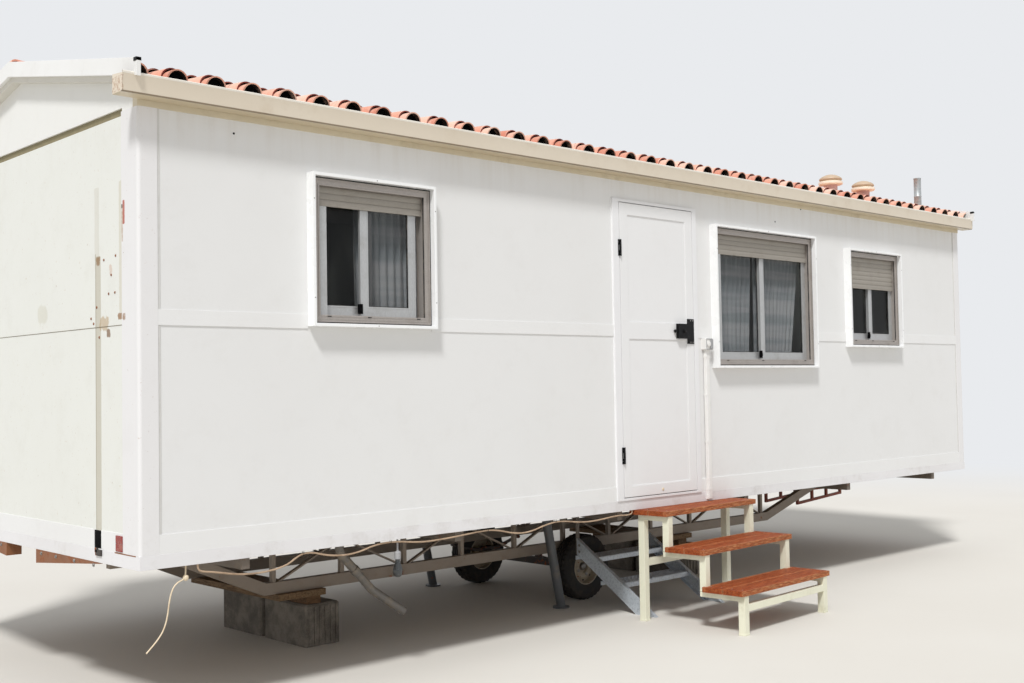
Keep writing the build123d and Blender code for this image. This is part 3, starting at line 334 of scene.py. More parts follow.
@dataclass(frozen=True)
class Finish:
    """Finish of a surface; each kind paints its own pattern."""

    name: str

    def paint(self, sheet: NodeSheet) -> bpy.types.Material:
        """Fill the node sheet and return its material."""
        raise NotImplementedError

    def material(self) -> bpy.types.Material:
        """Material of this finish, made once."""
        label = f"{self.name}_finish"
        return bpy.data.materials.get(label) or self.paint(NodeSheet(bpy.data.materials.new(label)))


@dataclass(frozen=True)
class StainAndShade:
    """Patch on a wall, in drawing millimetres: rust, dirt, primer, or a line of painted shade."""

    low: Triple
    high: Triple
    soft: float
    colour: str
    share: float = 1.0
    grain: float = 30.0
    cover: float = 1.0
    ragged: float = 2.2


@dataclass(frozen=True)
class Paint(Finish):
    """Paint with an orange-peel grain, clouds of soil and chips down to rust."""

    colour: str
    gloss: float = 0.42
    peel: float = 380.0
    peel_depth: float = 0.35
    soil: str = "#8d7f66"
    soil_share: float = 0.12
    cloud_share: float = 0.1
    rust: str = "#6b3219"
    rust_share: float = 0.0
    rust_grain: float = 22.0
    stains_and_shades: tuple[StainAndShade, ...] = ()

    def coat(self, sheet: NodeSheet) -> Socket:
        """Colour of the coat before soil and stains.

        Args:
            sheet: node sheet of the finish.

        Returns:
            The colour.
        """
        cloud = sheet.noise(1.3, 4.0, 0.55)
        shade = sheet.mix(self.cloud_share, self.colour, self.soil)
        return sheet.mix(sheet.span(cloud, 0.35, 0.8), self.colour, shade)

    def paint(self, sheet: NodeSheet) -> bpy.types.Material:
        """Lay coat, soil, patches of dirt and painted shade, and rust.

        Args:
            sheet: node sheet of the finish.

        Returns:
            The material.
        """
        colour = self.coat(sheet)
        rough: object = sheet.span(sheet.noise(9.0, 3.0), 0.3, 0.75, self.gloss - 0.06, self.gloss + 0.1)
        sheet.bump(sheet.noise(self.peel, 1.5, 0.4), self.peel_depth)
        sheet.bump(sheet.noise(2.2, 1.0), 2.5, 0.35)
        if self.soil_share:
            soil = sheet.span(sheet.noise(5.5, 6.0, 0.68), 0.5, 0.76, 0.0, self.soil_share)
            colour = sheet.mix(soil, colour, self.soil)
        # each patch lays its colour over a soft, ragged box; most are rust or dirt, a few are painted shade
        # lines
        for patch in self.stains_and_shades:
            field = sheet.times(sheet.area(patch.low, patch.high, patch.soft), patch.cover)
            broken = sheet.sum(Sum.SUBTRACT, sheet.noise(patch.grain, 6.0, 0.72), 0.5)
            level = sheet.sum(Sum.ADD, field, sheet.times(broken, patch.ragged))
            mask = sheet.span(level, 0.3, 0.75, 0.0, patch.share)
            colour = sheet.mix(mask, colour, patch.colour)
        if self.rust_share:
            flakes = sheet.noise(self.rust_grain, 8.0, 0.72)
            start = 0.74 - 0.3 * self.rust_share
            mask = sheet.span(flakes, start, start + 0.03)
            tone = sheet.mix(sheet.noise(60.0, 4.0), self.rust, "#a2623a")
            colour = sheet.mix(mask, colour, tone)
            rough = sheet.sum(Sum.MAXIMUM, rough, sheet.times(mask, 0.85))
            sheet.bump(mask, 0.4, 0.6)
        return sheet.done(colour, rough)


@dataclass(frozen=True)
class WallSkin(Paint):
    """Textured wall skin with run-off streaks under its upper edge, a painted shadow line under the gutter
    with some dirt in it, and splashes at its foot.
    """

    soil_share: float = 0.04
    cloud_share: float = 0.03
    eave_level: float = 3102.0
    foot_level: float = 845.0
    streak: str = "#a48d68"
    streak_share: float = 0.25
    # colour and share of a painted shadow line just under the gutter, with some dirt in it
    line: str = "#7d6a48"
    gutter_shade_line_share: float = 0.8
    splash_share: float = 0.06

    def coat(self, sheet: NodeSheet) -> Socket:
        """Colour of the skin with its streaks, the painted shadow line under the gutter, and splashes.

        Args:
            sheet: node sheet of the finish.

        Returns:
            The colour.
        """
        colour = super().coat(sheet)
        height = sheet.axis(2)
        eave = self.eave_level * MM
        run_off = sheet.noise(1.0, 5.0, 0.6, (16.0, 16.0, 0.8))
        reach = sheet.span(height, eave - 0.32, eave, 0.0, self.streak_share * 0.45)
        runs = sheet.times(sheet.span(run_off, 0.42, 0.72), reach)
        colour = sheet.mix(runs, colour, self.streak)
        # painted shadow: a dark band 10 to 26 mm under the gutter's foot, where the gutter's shade falls on
        # the wall, with some dirt in it
        line = sheet.span(height, eave - 0.026, eave - 0.01, 0.0, self.gutter_shade_line_share)
        ragged = sheet.times(line, sheet.span(sheet.noise(7.0, 4.0), 0.3, 0.6, 0.6, 1.0))
        colour = sheet.mix(ragged, colour, self.line)
        foot = self.foot_level * MM
        splash = sheet.span(height, foot, foot + 0.28, self.splash_share, 0.0)
        specks = sheet.span(sheet.noise(24.0, 5.0, 0.65), 0.48, 0.7)
        return sheet.mix(sheet.times(splash, specks), colour, self.soil)


@dataclass(frozen=True)
class Clay(Finish):
    """Coral clay of pressed roof tiles, each tile with its own tone."""

    pale: str = "#f3cab6"
    middle: str = "#e6ad95"
    deep: str = "#d18a72"
    tile: Triple = (0.2155, 0.1866, 10.0)
    shift: Triple = (CORNER.x - 0.13675, CORNER.y + 0.0068, -1.0)

    def paint(self, sheet: NodeSheet) -> bpy.types.Material:
        """Lay tile tones, bloom, soot and grain.

        Args:
            sheet: node sheet of the finish.

        Returns:
            The material.
        """
        tone = sheet.tile_tone(self.tile, self.shift)
        colour = sheet.mix(sheet.span(tone, 0.0, 0.55), self.deep, self.middle)
        colour = sheet.mix(sheet.span(tone, 0.5, 1.0), colour, self.pale)
        bloom = sheet.span(sheet.noise(11.0, 6.0, 0.65), 0.5, 0.75, 0.0, 0.55)
        colour = sheet.mix(bloom, colour, "#f0cdbd")
        soot = sheet.span(sheet.noise(6.0, 7.0, 0.7, twist=0.4), 0.56, 0.74, 0.0, 0.6)
        colour = sheet.mix(soot, colour, "#5e352b")
        specks = sheet.span(sheet.cells(160.0), 0.08, 0.16, 0.35, 0.0)
        colour = sheet.mix(specks, colour, "#7c4334")
        sheet.bump(sheet.noise(240.0, 4.0, 0.6), 0.5)
        sheet.bump(sheet.noise(30.0, 3.0), 1.5, 0.5)
        return sheet.done(colour, sheet.span(bloom, 0.0, 0.5, 0.78, 0.9))


@dataclass(frozen=True)
class Brushed(Finish):
    """Drawn or galvanised metal with fine lines, spangle and a dull bloom."""

    colour: str
    tint: str
    metal: float = 0.5
    rough: float = 0.42
    lines: Along = Along.X
    spangle: float = 0.0
    soil: str = "#6f6251"
    soil_share: float = 0.25

    def paint(self, sheet: NodeSheet) -> bpy.types.Material:
        """Lay lines, spangle and soil.

        Args:
            sheet: node sheet of the finish.

        Returns:
            The material.
        """
        lines = sheet.noise(70.0, 3.0, 0.6, self.lines.value)
        colour = sheet.mix(sheet.span(lines, 0.35, 0.7), self.colour, self.tint)
        if self.spangle:
            flowers = sheet.cells(self.spangle)
            colour = sheet.mix(sheet.span(flowers, 0.1, 0.7, 0.0, 0.55), colour, self.tint)
        soil = sheet.span(sheet.noise(7.0, 6.0, 0.66), 0.48, 0.76, 0.0, self.soil_share)
        colour = sheet.mix(soil, colour, self.soil)
        rough = sheet.span(lines, 0.3, 0.7, self.rough - 0.06, self.rough + 0.08)
        rough = sheet.sum(Sum.ADD, rough, sheet.times(soil, 0.4))
        sheet.bump(lines, 0.12)
        sheet.bump(sheet.noise(3.0, 2.0), 1.0, 0.3)
        return sheet.done(colour, rough, Metallic=self.metal)


@dataclass(frozen=True)
class Timber(Finish):
    """Sawn or stained wood with grain and wear along named edges."""

    pale: str
    deep: str
    worn: str
    grain: Along = Along.X
    rough: float = 0.6
    wear_edges: tuple[float, ...] = ()
    wear_share: float = 0.35
    edge_share: float = 0.5
    shine: float = 0.12
    turn: float = 0.0
    pivot: Triple = (0.0, 0.0, 0.0)

    def paint(self, sheet: NodeSheet) -> bpy.types.Material:
        """Lay grain, rings and wear.

        Args:
            sheet: node sheet of the finish.

        Returns:
            The material.
        """
        if self.turn:
            sheet.askew(self.turn, self.pivot)
        rings = sheet.noise(9.0, 6.0, 0.62, self.grain.value, 1.2)
        fine = sheet.noise(60.0, 4.0, 0.6, self.grain.value)
        colour = sheet.mix(sheet.span(rings, 0.36, 0.64), self.deep, self.pale)
        colour = sheet.mix(sheet.span(fine, 0.45, 0.7, 0.0, 0.5), colour, self.deep)
        worn = sheet.span(sheet.noise(14.0, 6.0, 0.7, self.grain.value), 0.5, 0.68, 0.0, self.wear_share)
        for edge in self.wear_edges:
            offset = sheet.sum(Sum.ABSOLUTE, sheet.sum(Sum.SUBTRACT, sheet.axis(1), spot(0, edge, 0).y))
            near = sheet.span(offset, 0.002, 0.014, self.edge_share, 0.0)
            broken = sheet.span(sheet.noise(20.0, 5.0, 0.7, self.grain.value), 0.42, 0.62)
            worn = sheet.sum(Sum.MAXIMUM, worn, sheet.times(near, broken))
        colour = sheet.mix(worn, colour, self.worn)
        sheet.bump(fine, 0.5)
        sheet.bump(rings, 0.8, 0.6)
        rough = sheet.span(worn, 0.0, 0.8, self.rough, self.rough + 0.2)
        return sheet.done(colour, rough, Specular_IOR_Level=self.shine)


@dataclass(frozen=True)
class Concrete(Finish):
    """Cast concrete with pits, sand and damp patches."""

    pale: str = "#8c857b"
    deep: str = "#5f5951"

    def paint(self, sheet: NodeSheet) -> bpy.types.Material:
        """Lay cement, sand, pits and damp.

        Args:
            sheet: node sheet of the finish.

        Returns:
            The material.
        """
        cloud = sheet.noise(7.0, 7.0, 0.65)
        colour = sheet.mix(sheet.span(cloud, 0.35, 0.68), self.deep, self.pale)
        sand = sheet.noise(190.0, 3.0, 0.7)
        colour = sheet.mix(sheet.span(sand, 0.55, 0.7, 0.0, 0.5), colour, "#a9a196")
        pits = sheet.span(sheet.cells(75.0), 0.05, 0.22, 1.0, 0.0)
        colour = sheet.mix(pits, colour, "#35312c")
        sheet.bump(sand, 1.2)
        sheet.bump(sheet.sum(Sum.SUBTRACT, 1.0, pits), 2.5, 0.8)
        return sheet.done(colour, sheet.span(cloud, 0.3, 0.7, 0.82, 0.94))


@dataclass(frozen=True)
class Moulded(Finish):
    """Rubber or plastic with a fine grain and dust in its hollows."""

    colour: str
    dust: str = "#b7ab98"
    dust_share: float = 0.2
    rough: float = 0.5
    grain: float = 500.0
    depth: float = 0.12
    shine: float = 0.5

    def paint(self, sheet: NodeSheet) -> bpy.types.Material:
        """Lay the body colour, dust and grain.

        Args:
            sheet: node sheet of the finish.

        Returns:
            The material.
        """
        cloud = sheet.noise(18.0, 5.0, 0.62)
        dust = sheet.span(cloud, 0.42, 0.72, 0.0, self.dust_share)
        colour = sheet.mix(dust, self.colour, self.dust)
        sheet.bump(sheet.noise(self.grain, 2.0), self.depth)
        rough = sheet.span(cloud, 0.3, 0.7, self.rough - 0.08, self.rough + 0.12)
        return sheet.done(colour, rough, Specular_IOR_Level=self.shine)


@dataclass(frozen=True)
class Pane(Finish):
    """Clear glass with a dusty film, seen through in part; its dark base colour is painted shade of the dim
    space behind it.
    """

    colour: str
    clear: float
    film: str = "#9aa09a"
    shine: float = 0.3

    def paint(self, sheet: NodeSheet) -> bpy.types.Material:
        """Lay the film of dust over the glass.

        Args:
            sheet: node sheet of the finish.

        Returns:
            The material.
        """
        smear = sheet.noise(5.0, 6.0, 0.62, (1.0, 1.0, 0.35), 0.8)
        film = sheet.span(smear, 0.45, 0.78, 0.0, 0.22)
        colour = sheet.mix(film, self.colour, self.film)
        sheet.bump(sheet.noise(1.8, 1.0), 0.8, 0.25)
        rough = sheet.span(smear, 0.35, 0.75, 0.03, 0.14)
        return sheet.done(colour, rough, Alpha=self.clear, Specular_IOR_Level=self.shine)


@dataclass(frozen=True)
class Cloth(Finish):
    """Plain woven curtain cloth."""

    colour: str
    shade: str

    def paint(self, sheet: NodeSheet) -> bpy.types.Material:
        """Lay the weave, its bands and the fade.

        Args:
            sheet: node sheet of the finish.

        Returns:
            The material.
        """
        warp = sheet.bars(180.0, "X", 0.4)
        weft = sheet.bars(180.0, "Z", 0.4)
        weave = sheet.sum(Sum.MAXIMUM, warp, weft)
        bands = sheet.noise(1.0, 3.0, 0.5, (0.4, 0.4, 9.0))
        colour = sheet.mix(sheet.span(bands, 0.42, 0.62), self.shade, self.colour)
        colour = sheet.mix(sheet.span(weave, 0.3, 0.9, 0.18, 0.0), colour, self.shade)
        sheet.bump(weave, 0.2)
        sheet.bump(sheet.noise(12.0, 3.0), 1.0, 0.4)
        return sheet.done(colour, sheet.span(weave, 0.0, 1.0, 0.95, 0.82), Sheen_Weight=0.25)


class Palette:
    """Every finish of the home."""

    wall = WallSkin("wall_skin", "#e5e5e4", gloss=0.5)
    end_wall = WallSkin(
        "end_wall_skin", "#e4e5df", gloss=0.5, soil="#8b7c52", soil_share=0.06, streak_share=0.1,
        gutter_shade_line_share=0.3, stains_and_shades=(
            StainAndShade((-30, 446, 938), (60, 488, 2350), 16, "#a39779", 0.5, 8.0, 1.5, 0.8),
            # painted shade with some dirt: a thin darker line beside the band's rear edge, along the strip's
            # edge
            StainAndShade((-30, 496, 938), (60, 499, 2370), 5, "#847756", 0.6, 30.0, 1.4, 0.8),
            StainAndShade((-30, 465, 2350), (60, 500, 2710), 18, "#b4ab93", 0.25, 9.0, 1.2),
            StainAndShade((-30, 198, 2060), (60, 214, 2715), 18, "#c0b598", 0.4, 22.0, 0.9, 1.3),
            StainAndShade((-30, 458, 2324), (60, 479, 2346), 24, "#8d6b41", 0.85, 40.0, 1.0),
            StainAndShade((-30, 315, 2262), (60, 327, 2297), 22, "#c7a48c", 0.5, 20.0, 0.9),
            StainAndShade((-30, 365, 1990), (60, 425, 2020), 45, "#b08f58", 0.6, 30.0, 0.9, 2.6),
            StainAndShade((-30, 340, 1940), (60, 358, 1962), 24, "#7e5c36", 0.85, 36.0, 1.0),
            StainAndShade((-30, 200, 2026), (60, 228, 2040), 20, "#946a3c", 0.85, 40.0, 1.0),
            StainAndShade((-30, 1160, 2085), (60, 1240, 2115), 60, "#b3ab86", 0.25, 9.0, 1.0),
        ))
    gable = Paint("gable_paint", "#e9e9e5", gloss=0.5, soil_share=0.05, cloud_share=0.03)
    post = WallSkin(
        "corner_post_paint", "#e6e5e5", gloss=0.4, peel_depth=0.12, gutter_shade_line_share=0.5,
        stains_and_shades=(
            StainAndShade((-30, 150, 2500), (30, 163, 2612), 9, "#b04a2e", 0.9, 30.0, 1.1),
            StainAndShade((-30, 168, 2410), (30, 177, 2590), 9, "#a8814f", 0.6, 44.0, 0.7, 1.5),
            StainAndShade((-30, 172, 2580), (30, 178, 2594), 7, "#2a231d", 0.9, 30.0, 1.2),
            StainAndShade((-30, 150, 2022), (30, 165, 2038), 20, "#946a3c", 0.8, 34.0, 0.8),
        ))
    rail = Paint("flat_rail_paint", "#e8e8e7", gloss=0.38, peel_depth=0.12, soil_share=0.05,
                 cloud_share=0.04)
    channel = Paint("base_channel_paint", "#e6e5e6", gloss=0.35, peel_depth=0.1, soil_share=0.22,
                    rust_share=0.08, rust_grain=9.0)
    trim = Paint("white_trim_paint", "#f5f6f6", gloss=0.3, peel_depth=0.06, soil_share=0.05)
    verge = Paint("verge_board_paint", "#eeeeec", gloss=0.36, peel_depth=0.1, soil_share=0.1)
    gutter = Paint("gutter_cream", "#e4d9c7", gloss=0.34, peel_depth=0.05, soil="#a3814f", soil_share=0.16,
                   stains_and_shades=(
                       StainAndShade((-170, -120, 3112), (-128, 20, 3180), 12, "#a06f3e", 0.8, 70.0, 0.45, 1.7),
                       # painted shade: a dark line along the gutter's rounded lower front edge
                       StainAndShade((-170, -130, 3090), (LENGTH + 100, -96, 3105), 5, "#6f5c40", 0.8, 9.0, 1.3, 0.7),
                       StainAndShade((-170, -88, 3090), (LENGTH + 100, 20, 3103), 5, "#c5b596", 0.8, 9.0, 1.6, 0.7),
                   ))
    # painted shade: the eave beam strip under the gutter is painted darker and browner where the gutter's
    # shade falls, with soil clouds over it
    eave = Paint("eave_beam_painted_shade", "#d6cbb2", gloss=0.45, peel_depth=0.1, soil="#8f7a52", soil_share=0.3)
    # painted highlight: the gutter's rolled top lip is paler than its face, as if lit from above
    lip = Paint("gutter_lip_painted_highlight", "#f4efe4", gloss=0.28, peel_depth=0.04, soil_share=0.08)
    vent = Paint("vent_cream", "#fbf1dc", gloss=0.4, peel_depth=0.2, soil="#b98c62", soil_share=0.15)
    # painted shade: the neck under the skirt is painted darker and pinker than the cream skirt, with soil
    # clouds over it
    vent_neck = Paint("vent_neck_painted_shade", "#cfaca5", gloss=0.45, peel_depth=0.2, soil="#8d6a5a",
                      soil_share=0.3)
    vent_cap = Paint("vent_cap_weathered", "#c4ad92", gloss=0.5, peel_depth=0.25, soil="#7d624c",
                     soil_share=0.4)
    flue = Brushed("flue_zinc", "#9aa0a2", "#c3c8c8", 0.65, 0.42, Along.Z, 40.0)
    tile = Clay("roof_clay")
    # painted shade: darker red for the front rims of the upper tile courses, which face down the slope in
    # shade
    tile_rim_shade = Clay("roof_clay_rim_shaded", "#8e4a3e", "#7a352f", "#632723")
    # painted shade: near-black clay for the tiles' undersides, the dark inside of the hollows
    tile_under_shade = Clay("roof_clay_underside_shade", "#3a2420", "#2a1a18", "#1c1211")
    panel = Paint("roof_panel_underside", "#d9d6cd", gloss=0.5)
    aluminium = Brushed("window_aluminium", "#a19a94", "#b8b1ab", 0.45, 0.42, Along.X)
    sash = Brushed("sash_aluminium", "#b0b1b1", "#c4c5c5", 0.45, 0.38, Along.Z)
    slat = Brushed("shutter_slat", "#938d84", "#a29c93", 0.15, 0.55, Along.X, soil="#6e6252", soil_share=0.2)
    # painted shade: near-black base colour for the dark room behind the glass
    pane = Pane("window_glass", "#101314", 0.34)
    gasket = Moulded("black_gasket", "#17181a", rough=0.6)
    cloth = Cloth("curtain_cloth", "#f4f7f9", "#cdd5da")
    chrome = Brushed("curtain_rod_metal", "#b9b7b2", "#d0cec9", 0.8, 0.3, Along.X)
    door = Paint("door_paint", "#e8e8e8", gloss=0.36, peel_depth=0.12, soil_share=0.03, cloud_share=0.03)
    door_frame = Paint("door_frame_paint", "#e9e9ea", gloss=0.34, peel_depth=0.1, soil_share=0.05,
                       cloud_share=0.04)
    iron = Moulded("black_iron", "#0b0b0d", "#3c3a38", 0.08, 0.5, 320.0, 0.25, 0.2)
    steel = Brushed("screw_steel", "#8d8b88", "#b5b3b0", 0.9, 0.35, Along.X)
    plastic = Moulded("white_plastic", "#eae9e6", "#c9bfae", 0.12, 0.4)
    grey_plastic = Moulded("grey_plastic", "#9a9b9d", "#cfcbc4", 0.3, 0.45)
    chassis = Paint("chassis_paint", "#6b6259", gloss=0.55, soil="#a08a72", soil_share=0.5, rust_share=0.45,
                    rust_grain=14.0)
    girder = Paint("girder_paint", "#93877b", gloss=0.55, soil="#6a5643", soil_share=0.55, rust_share=0.35,
                   rust_grain=11.0)
    steady = Paint("steady_paint", "#575a5d", gloss=0.5, soil="#8a7a66", soil_share=0.45, rust_share=0.35)
    oxide = Paint("oxide_primer", "#8a3f2c", gloss=0.6, soil="#b08a72", soil_share=0.45, rust_share=0.3)
    spring = Paint("spring_steel", "#3c3632", gloss=0.55, soil="#7a5b43", soil_share=0.6, rust_share=0.6)
    zinc = Brushed("step_zinc", "#a6b0ba", "#dbe3ea", 0.45, 0.4, Along.Y, 55.0, "#6b5a48", 0.25)
    bracket = Paint("end_bracket_rust", "#8a5a3a", gloss=0.6, soil="#5f3a24", soil_share=0.6, rust="#6b3a20",
                    rust_share=0.6, rust_grain=18.0)
    rubber = Moulded("tyre_rubber", "#1d1c1b", "#6b6053", 0.28, 0.75, 420.0, 0.4)
    rim = Paint("rim_paint", "#b3a793", gloss=0.5, soil="#6b5842", soil_share=0.6, rust_share=0.5,
                rust_grain=30.0)
    concrete = Concrete("block_concrete")
    timber = Timber("sawn_timber", "#8a7256", "#5b4632", "#a8977c", Along.Y)
    wedge = Timber("wedge_timber", "#7c5f44", "#4f3a29", "#9a8468", Along.X)
    tread = Timber("tread_wood", "#a8552d", "#6b2a14", "#e3ae7c", Along.X, 0.6,
                   (-862.0, -705.0, -564.0, -544.0, -407.0, -266.0, -246.0, -109.0), 0.3, 0.5, 0.12, 3.5,
                   (3725.0, -862.0, 0.0))
    step = Paint("step_frame_paint", "#e9e8d2", gloss=0.4, soil="#a8a07c", soil_share=0.4, rust_share=0.12,
                 rust_grain=26.0)
    pipe = Moulded("waste_pipe_grey", "#77736e", "#a3937c", 0.5, 0.45)
    sheath = Moulded("cable_sheath", "#b59c82", "#71563f", 0.5, 0.5, 260.0, 0.2)
    lead = Moulded("loose_lead_sheath", "#e0cfb2", "#a07c52", 0.35, 0.5, 260.0, 0.2)
    # painted shade: dark grey colour on the clear bulb, for the shade seen through it
    bulb = Pane("lamp_bulb_glass", "#2a2e30", 0.72, "#a2a9ad", 0.8)
    deck = Timber("deck_board", "#a58a63", "#7c6344", "#b9a07a", Along.X)
    joint = Moulded("joint_sealant", "#6e6450", "#8f866c", 0.5, 0.7)
    # painted shade: light grey for the strips in the joints beside the corner posts
    post_joint_shade = Moulded("post_joint_grey", "#d3d2cf", "#b3b0a8", 0.2, 0.5)
    groove = Moulded("gable_groove_shade", "#857b5c", "#a3987a", 0.4, 0.7)
    # near-black: the real black of the window catch, and painted shade in the eave tile hollows and the
    # lifting slots
    shade_and_black = Moulded("black_and_deep_shade", "#08080a", "#15130f", 0.2, 0.85, shine=0.08)
    reflector = Moulded("red_reflector", "#8f1f14", "#c8a08a", 0.35, 0.25, 900.0, 0.5)


class Shape:
    """Mesh of one piece under construction, in drawing millimetres."""

    def __init__(self, name: str, rear: bool = False) -> None:
        """Start an empty piece.

        Args:
            name: name of the piece.
            rear: turn the piece half round onto the rear wall.
        """
        self.name = name
        self.rear = rear
        self.mesh = bmesh.new()
        self.index = 0

    def point(self, x: float, y: float, z: float) -> Corner:
        """Add one corner and return it."""
        return self.mesh.verts.new((x, y, z))

    def face(self, corners: list[Corner]) -> None:
        """Close a face over corners, with the finish that is being laid."""
        self.mesh.faces.new(corners).material_index = self.index

    def grid(self, rows: list[list[Corner]], closed: bool = False) -> None:
        """Close faces between neighbouring rows of corners.

        Args:
            rows: rows with as many corners each.
            closed: join each row's last corner to its first.
        """
        for near, far in zip(rows, rows[1:]):
            count = len(near)
            for i in range(count if closed else count - 1):
                j = (i + 1) % count
                self.face([near[i], near[j], far[j], far[i]])

    def box(self, low: Triple, high: Triple) -> None:
        """Add a rectangular bar.

        Args:
            low: lowest corner.
            high: highest corner.
        """
        (x0, y0, z0), (x1, y1, z1) = low, high
        self.capped([[self.point(x, y, z) for x, y in ((x0, y0), (x1, y0), (x1, y1), (x0, y1))]
                     for z in (z0, z1)])

    def ring(self, low: Pair, high: Pair, width: float, y0: float, y1: float) -> None:
        """Add a flat rectangular ring that faces the front.

        Args:
            low: left and lower outer edge.
            high: right and upper outer edge.
            width: width of its face, measured inward.
            y0: front of the ring.
            y1: back of the ring.
        """
        rows = []
        for y, inset in ((y0, 0.0), (y0, width), (y1, width), (y1, 0.0)):
            a, b, c, d = low[0] + inset, high[0] - inset, low[1] + inset, high[1] - inset
            rows.append([self.point(x, y, z) for x, z in ((a, c), (b, c), (b, d), (a, d))])
        self.grid(rows + rows[:1], True)

    def capped(self, rows: list[list[Corner]]) -> None:
        """Close faces round rows of corners and over both ends.

        Args:
            rows: rows with as many corners each.
        """
        self.grid(rows, True)
        self.face(rows[0][::-1])
        self.face(rows[-1])

    def turned(self, profile: list[Pair], centre: Triple, along: Triple, sides: int = 20) -> None:
        """Add a round piece.

        Args:
            profile: radius and distance along the axis, from end to end.
            centre: start of the axis.
            along: direction of the axis.
            sides: number of sides.
        """
        axis = Vector(along).normalized()
        side = axis.orthogonal().normalized()
        up = axis.cross(side)
        rows = []
        for radius, distance in profile:
            middle = Vector(centre) + axis * distance
            rows.append([self.point(*(middle + (side * c + up * s) * radius)) for c, s in around(sides)])
        self.grid(rows, True)
        for row, (radius, _) in ((rows[0][::-1], profile[0]), (rows[-1], profile[-1])):
            if radius > 0.01:
                self.face(row)

    def tube(self, points: list[Triple], radius: float, sides: int = 10) -> None:
        """Add a round bar that follows points.

        Args:
            points: centreline.
            radius: its radius.
            sides: number of sides.
        """
        line = [Vector(p) for p in points]
        rows = []
        side = None
        for i, here in enumerate(line):
            ahead = (line[min(i + 1, len(line) - 1)] - line[max(i - 1, 0)]).normalized()
            side = (ahead.orthogonal() if side is None else side - ahead * side.dot(ahead)).normalized()
            up = ahead.cross(side)
            rows.append([self.point(*(here + (side * c + up * s) * radius)) for c, s in around(sides)])
        self.capped(rows)

    def plate(self, outline: list[Triple], thick: Triple) -> None:
        """Add a flat plate over an outline, and thicken it by an offset."""
        self.capped([[self.point(*(Vector(p) + shift)) for p in outline]
                     for shift in (Vector(), Vector(thick))])

    def screw(self, centre: Triple, along: Triple, radius: float = 4.0) -> None:
        """Add a domed screw head that faces along."""
        self.turned([(radius, -0.5), (radius, radius * 0.25), (radius * 0.7, radius * 0.5),
                     (0.02, radius * 0.55)], centre, along, 10)

    def bolt(self, centre: Triple, along: Triple, radius: float = 9.0) -> None:
        """Add a hexagon head on its washer, facing along."""
        self.turned([(radius * 1.5, -0.5), (radius * 1.5, radius * 0.2), (radius, radius * 0.2)],
                    centre, along, 14)
        self.turned([(radius, radius * 0.2), (radius, radius * 0.9), (radius * 0.8, radius)],
                    centre, along, 6)

    def done(self, finish: Finish | list[Finish], slot: Slot, body: Body = Body.HOME, smooth: float = 35.0,
             edge: float = 0.0, replaces: str = "") -> Piece:
        """Close the mesh and hang it on its body.

        Args:
            finish: one finish, or one for each index used.
            slot: slot of the record; not used.
            body: body that it moves with.
            smooth: faces that meet at less than this many degrees shade as one.
            edge: radius of the eased edges.
            replaces: node that the piece stands for.

        Returns:
            The finished object.
        """
        for vert in self.mesh.verts:
            x, y, z = vert.co
            vert.co = spot(LENGTH - x, DEPTH - y, z) if self.rear else spot(x, y, z)
        bmesh.ops.recalc_face_normals(self.mesh, faces=self.mesh.faces)
        data = bpy.data.meshes.new(self.name)
        self.mesh.to_mesh(data)
        self.mesh.free()
        piece = placed(self.name, data)
        for item in finish if isinstance(finish, list) else [finish]:
            data.materials.append(item.material())
        if smooth:
            data.shade_smooth()
            data.set_sharp_from_angle(angle=math.radians(smooth))
        if edge:
            ease_edges(piece, edge)
        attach(piece, body.value)
        if replaces:
            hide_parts(replaces)
        LOG.info("made %s, %d faces", self.name, len(data.polygons))
        return piece


def ease_edges(piece: Piece, width: float) -> None:
    """Round the sharp edges of a piece, so that they catch the light.

    Args:
        piece: object that is eased.
        width: radius in millimetres.
    """
    weld = piece.modifiers.new("joined corners", "WELD")
    weld.merge_threshold = WELD_GAP
    bevel = piece.modifiers.new("eased edges", "BEVEL")
    bevel.width = width * MM
    bevel.segments = EDGE_FACETS
    bevel.limit_method = "ANGLE"
    bevel.angle_limit = math.radians(EDGE_ANGLE)


def dress(finish: Finish, *nodes: str, edge: float = 0.0) -> None:
    """Give carried-over nodes their finish.

    Args:
        finish: the finish.
        nodes: names of the nodes.
        edge: radius of their eased edges in millimetres.
    """
    for node in nodes:
        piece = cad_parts[node]
        piece.data.materials.clear()
        piece.data.materials.append(finish.material())
        if edge:
            normals = piece.data.attributes.get("custom_normal")
            if normals:
                piece.data.attributes.remove(normals)
            piece.data.shade_flat()
            ease_edges(piece, edge)
        LOG.info("dressed %s with %s", node, finish.name)


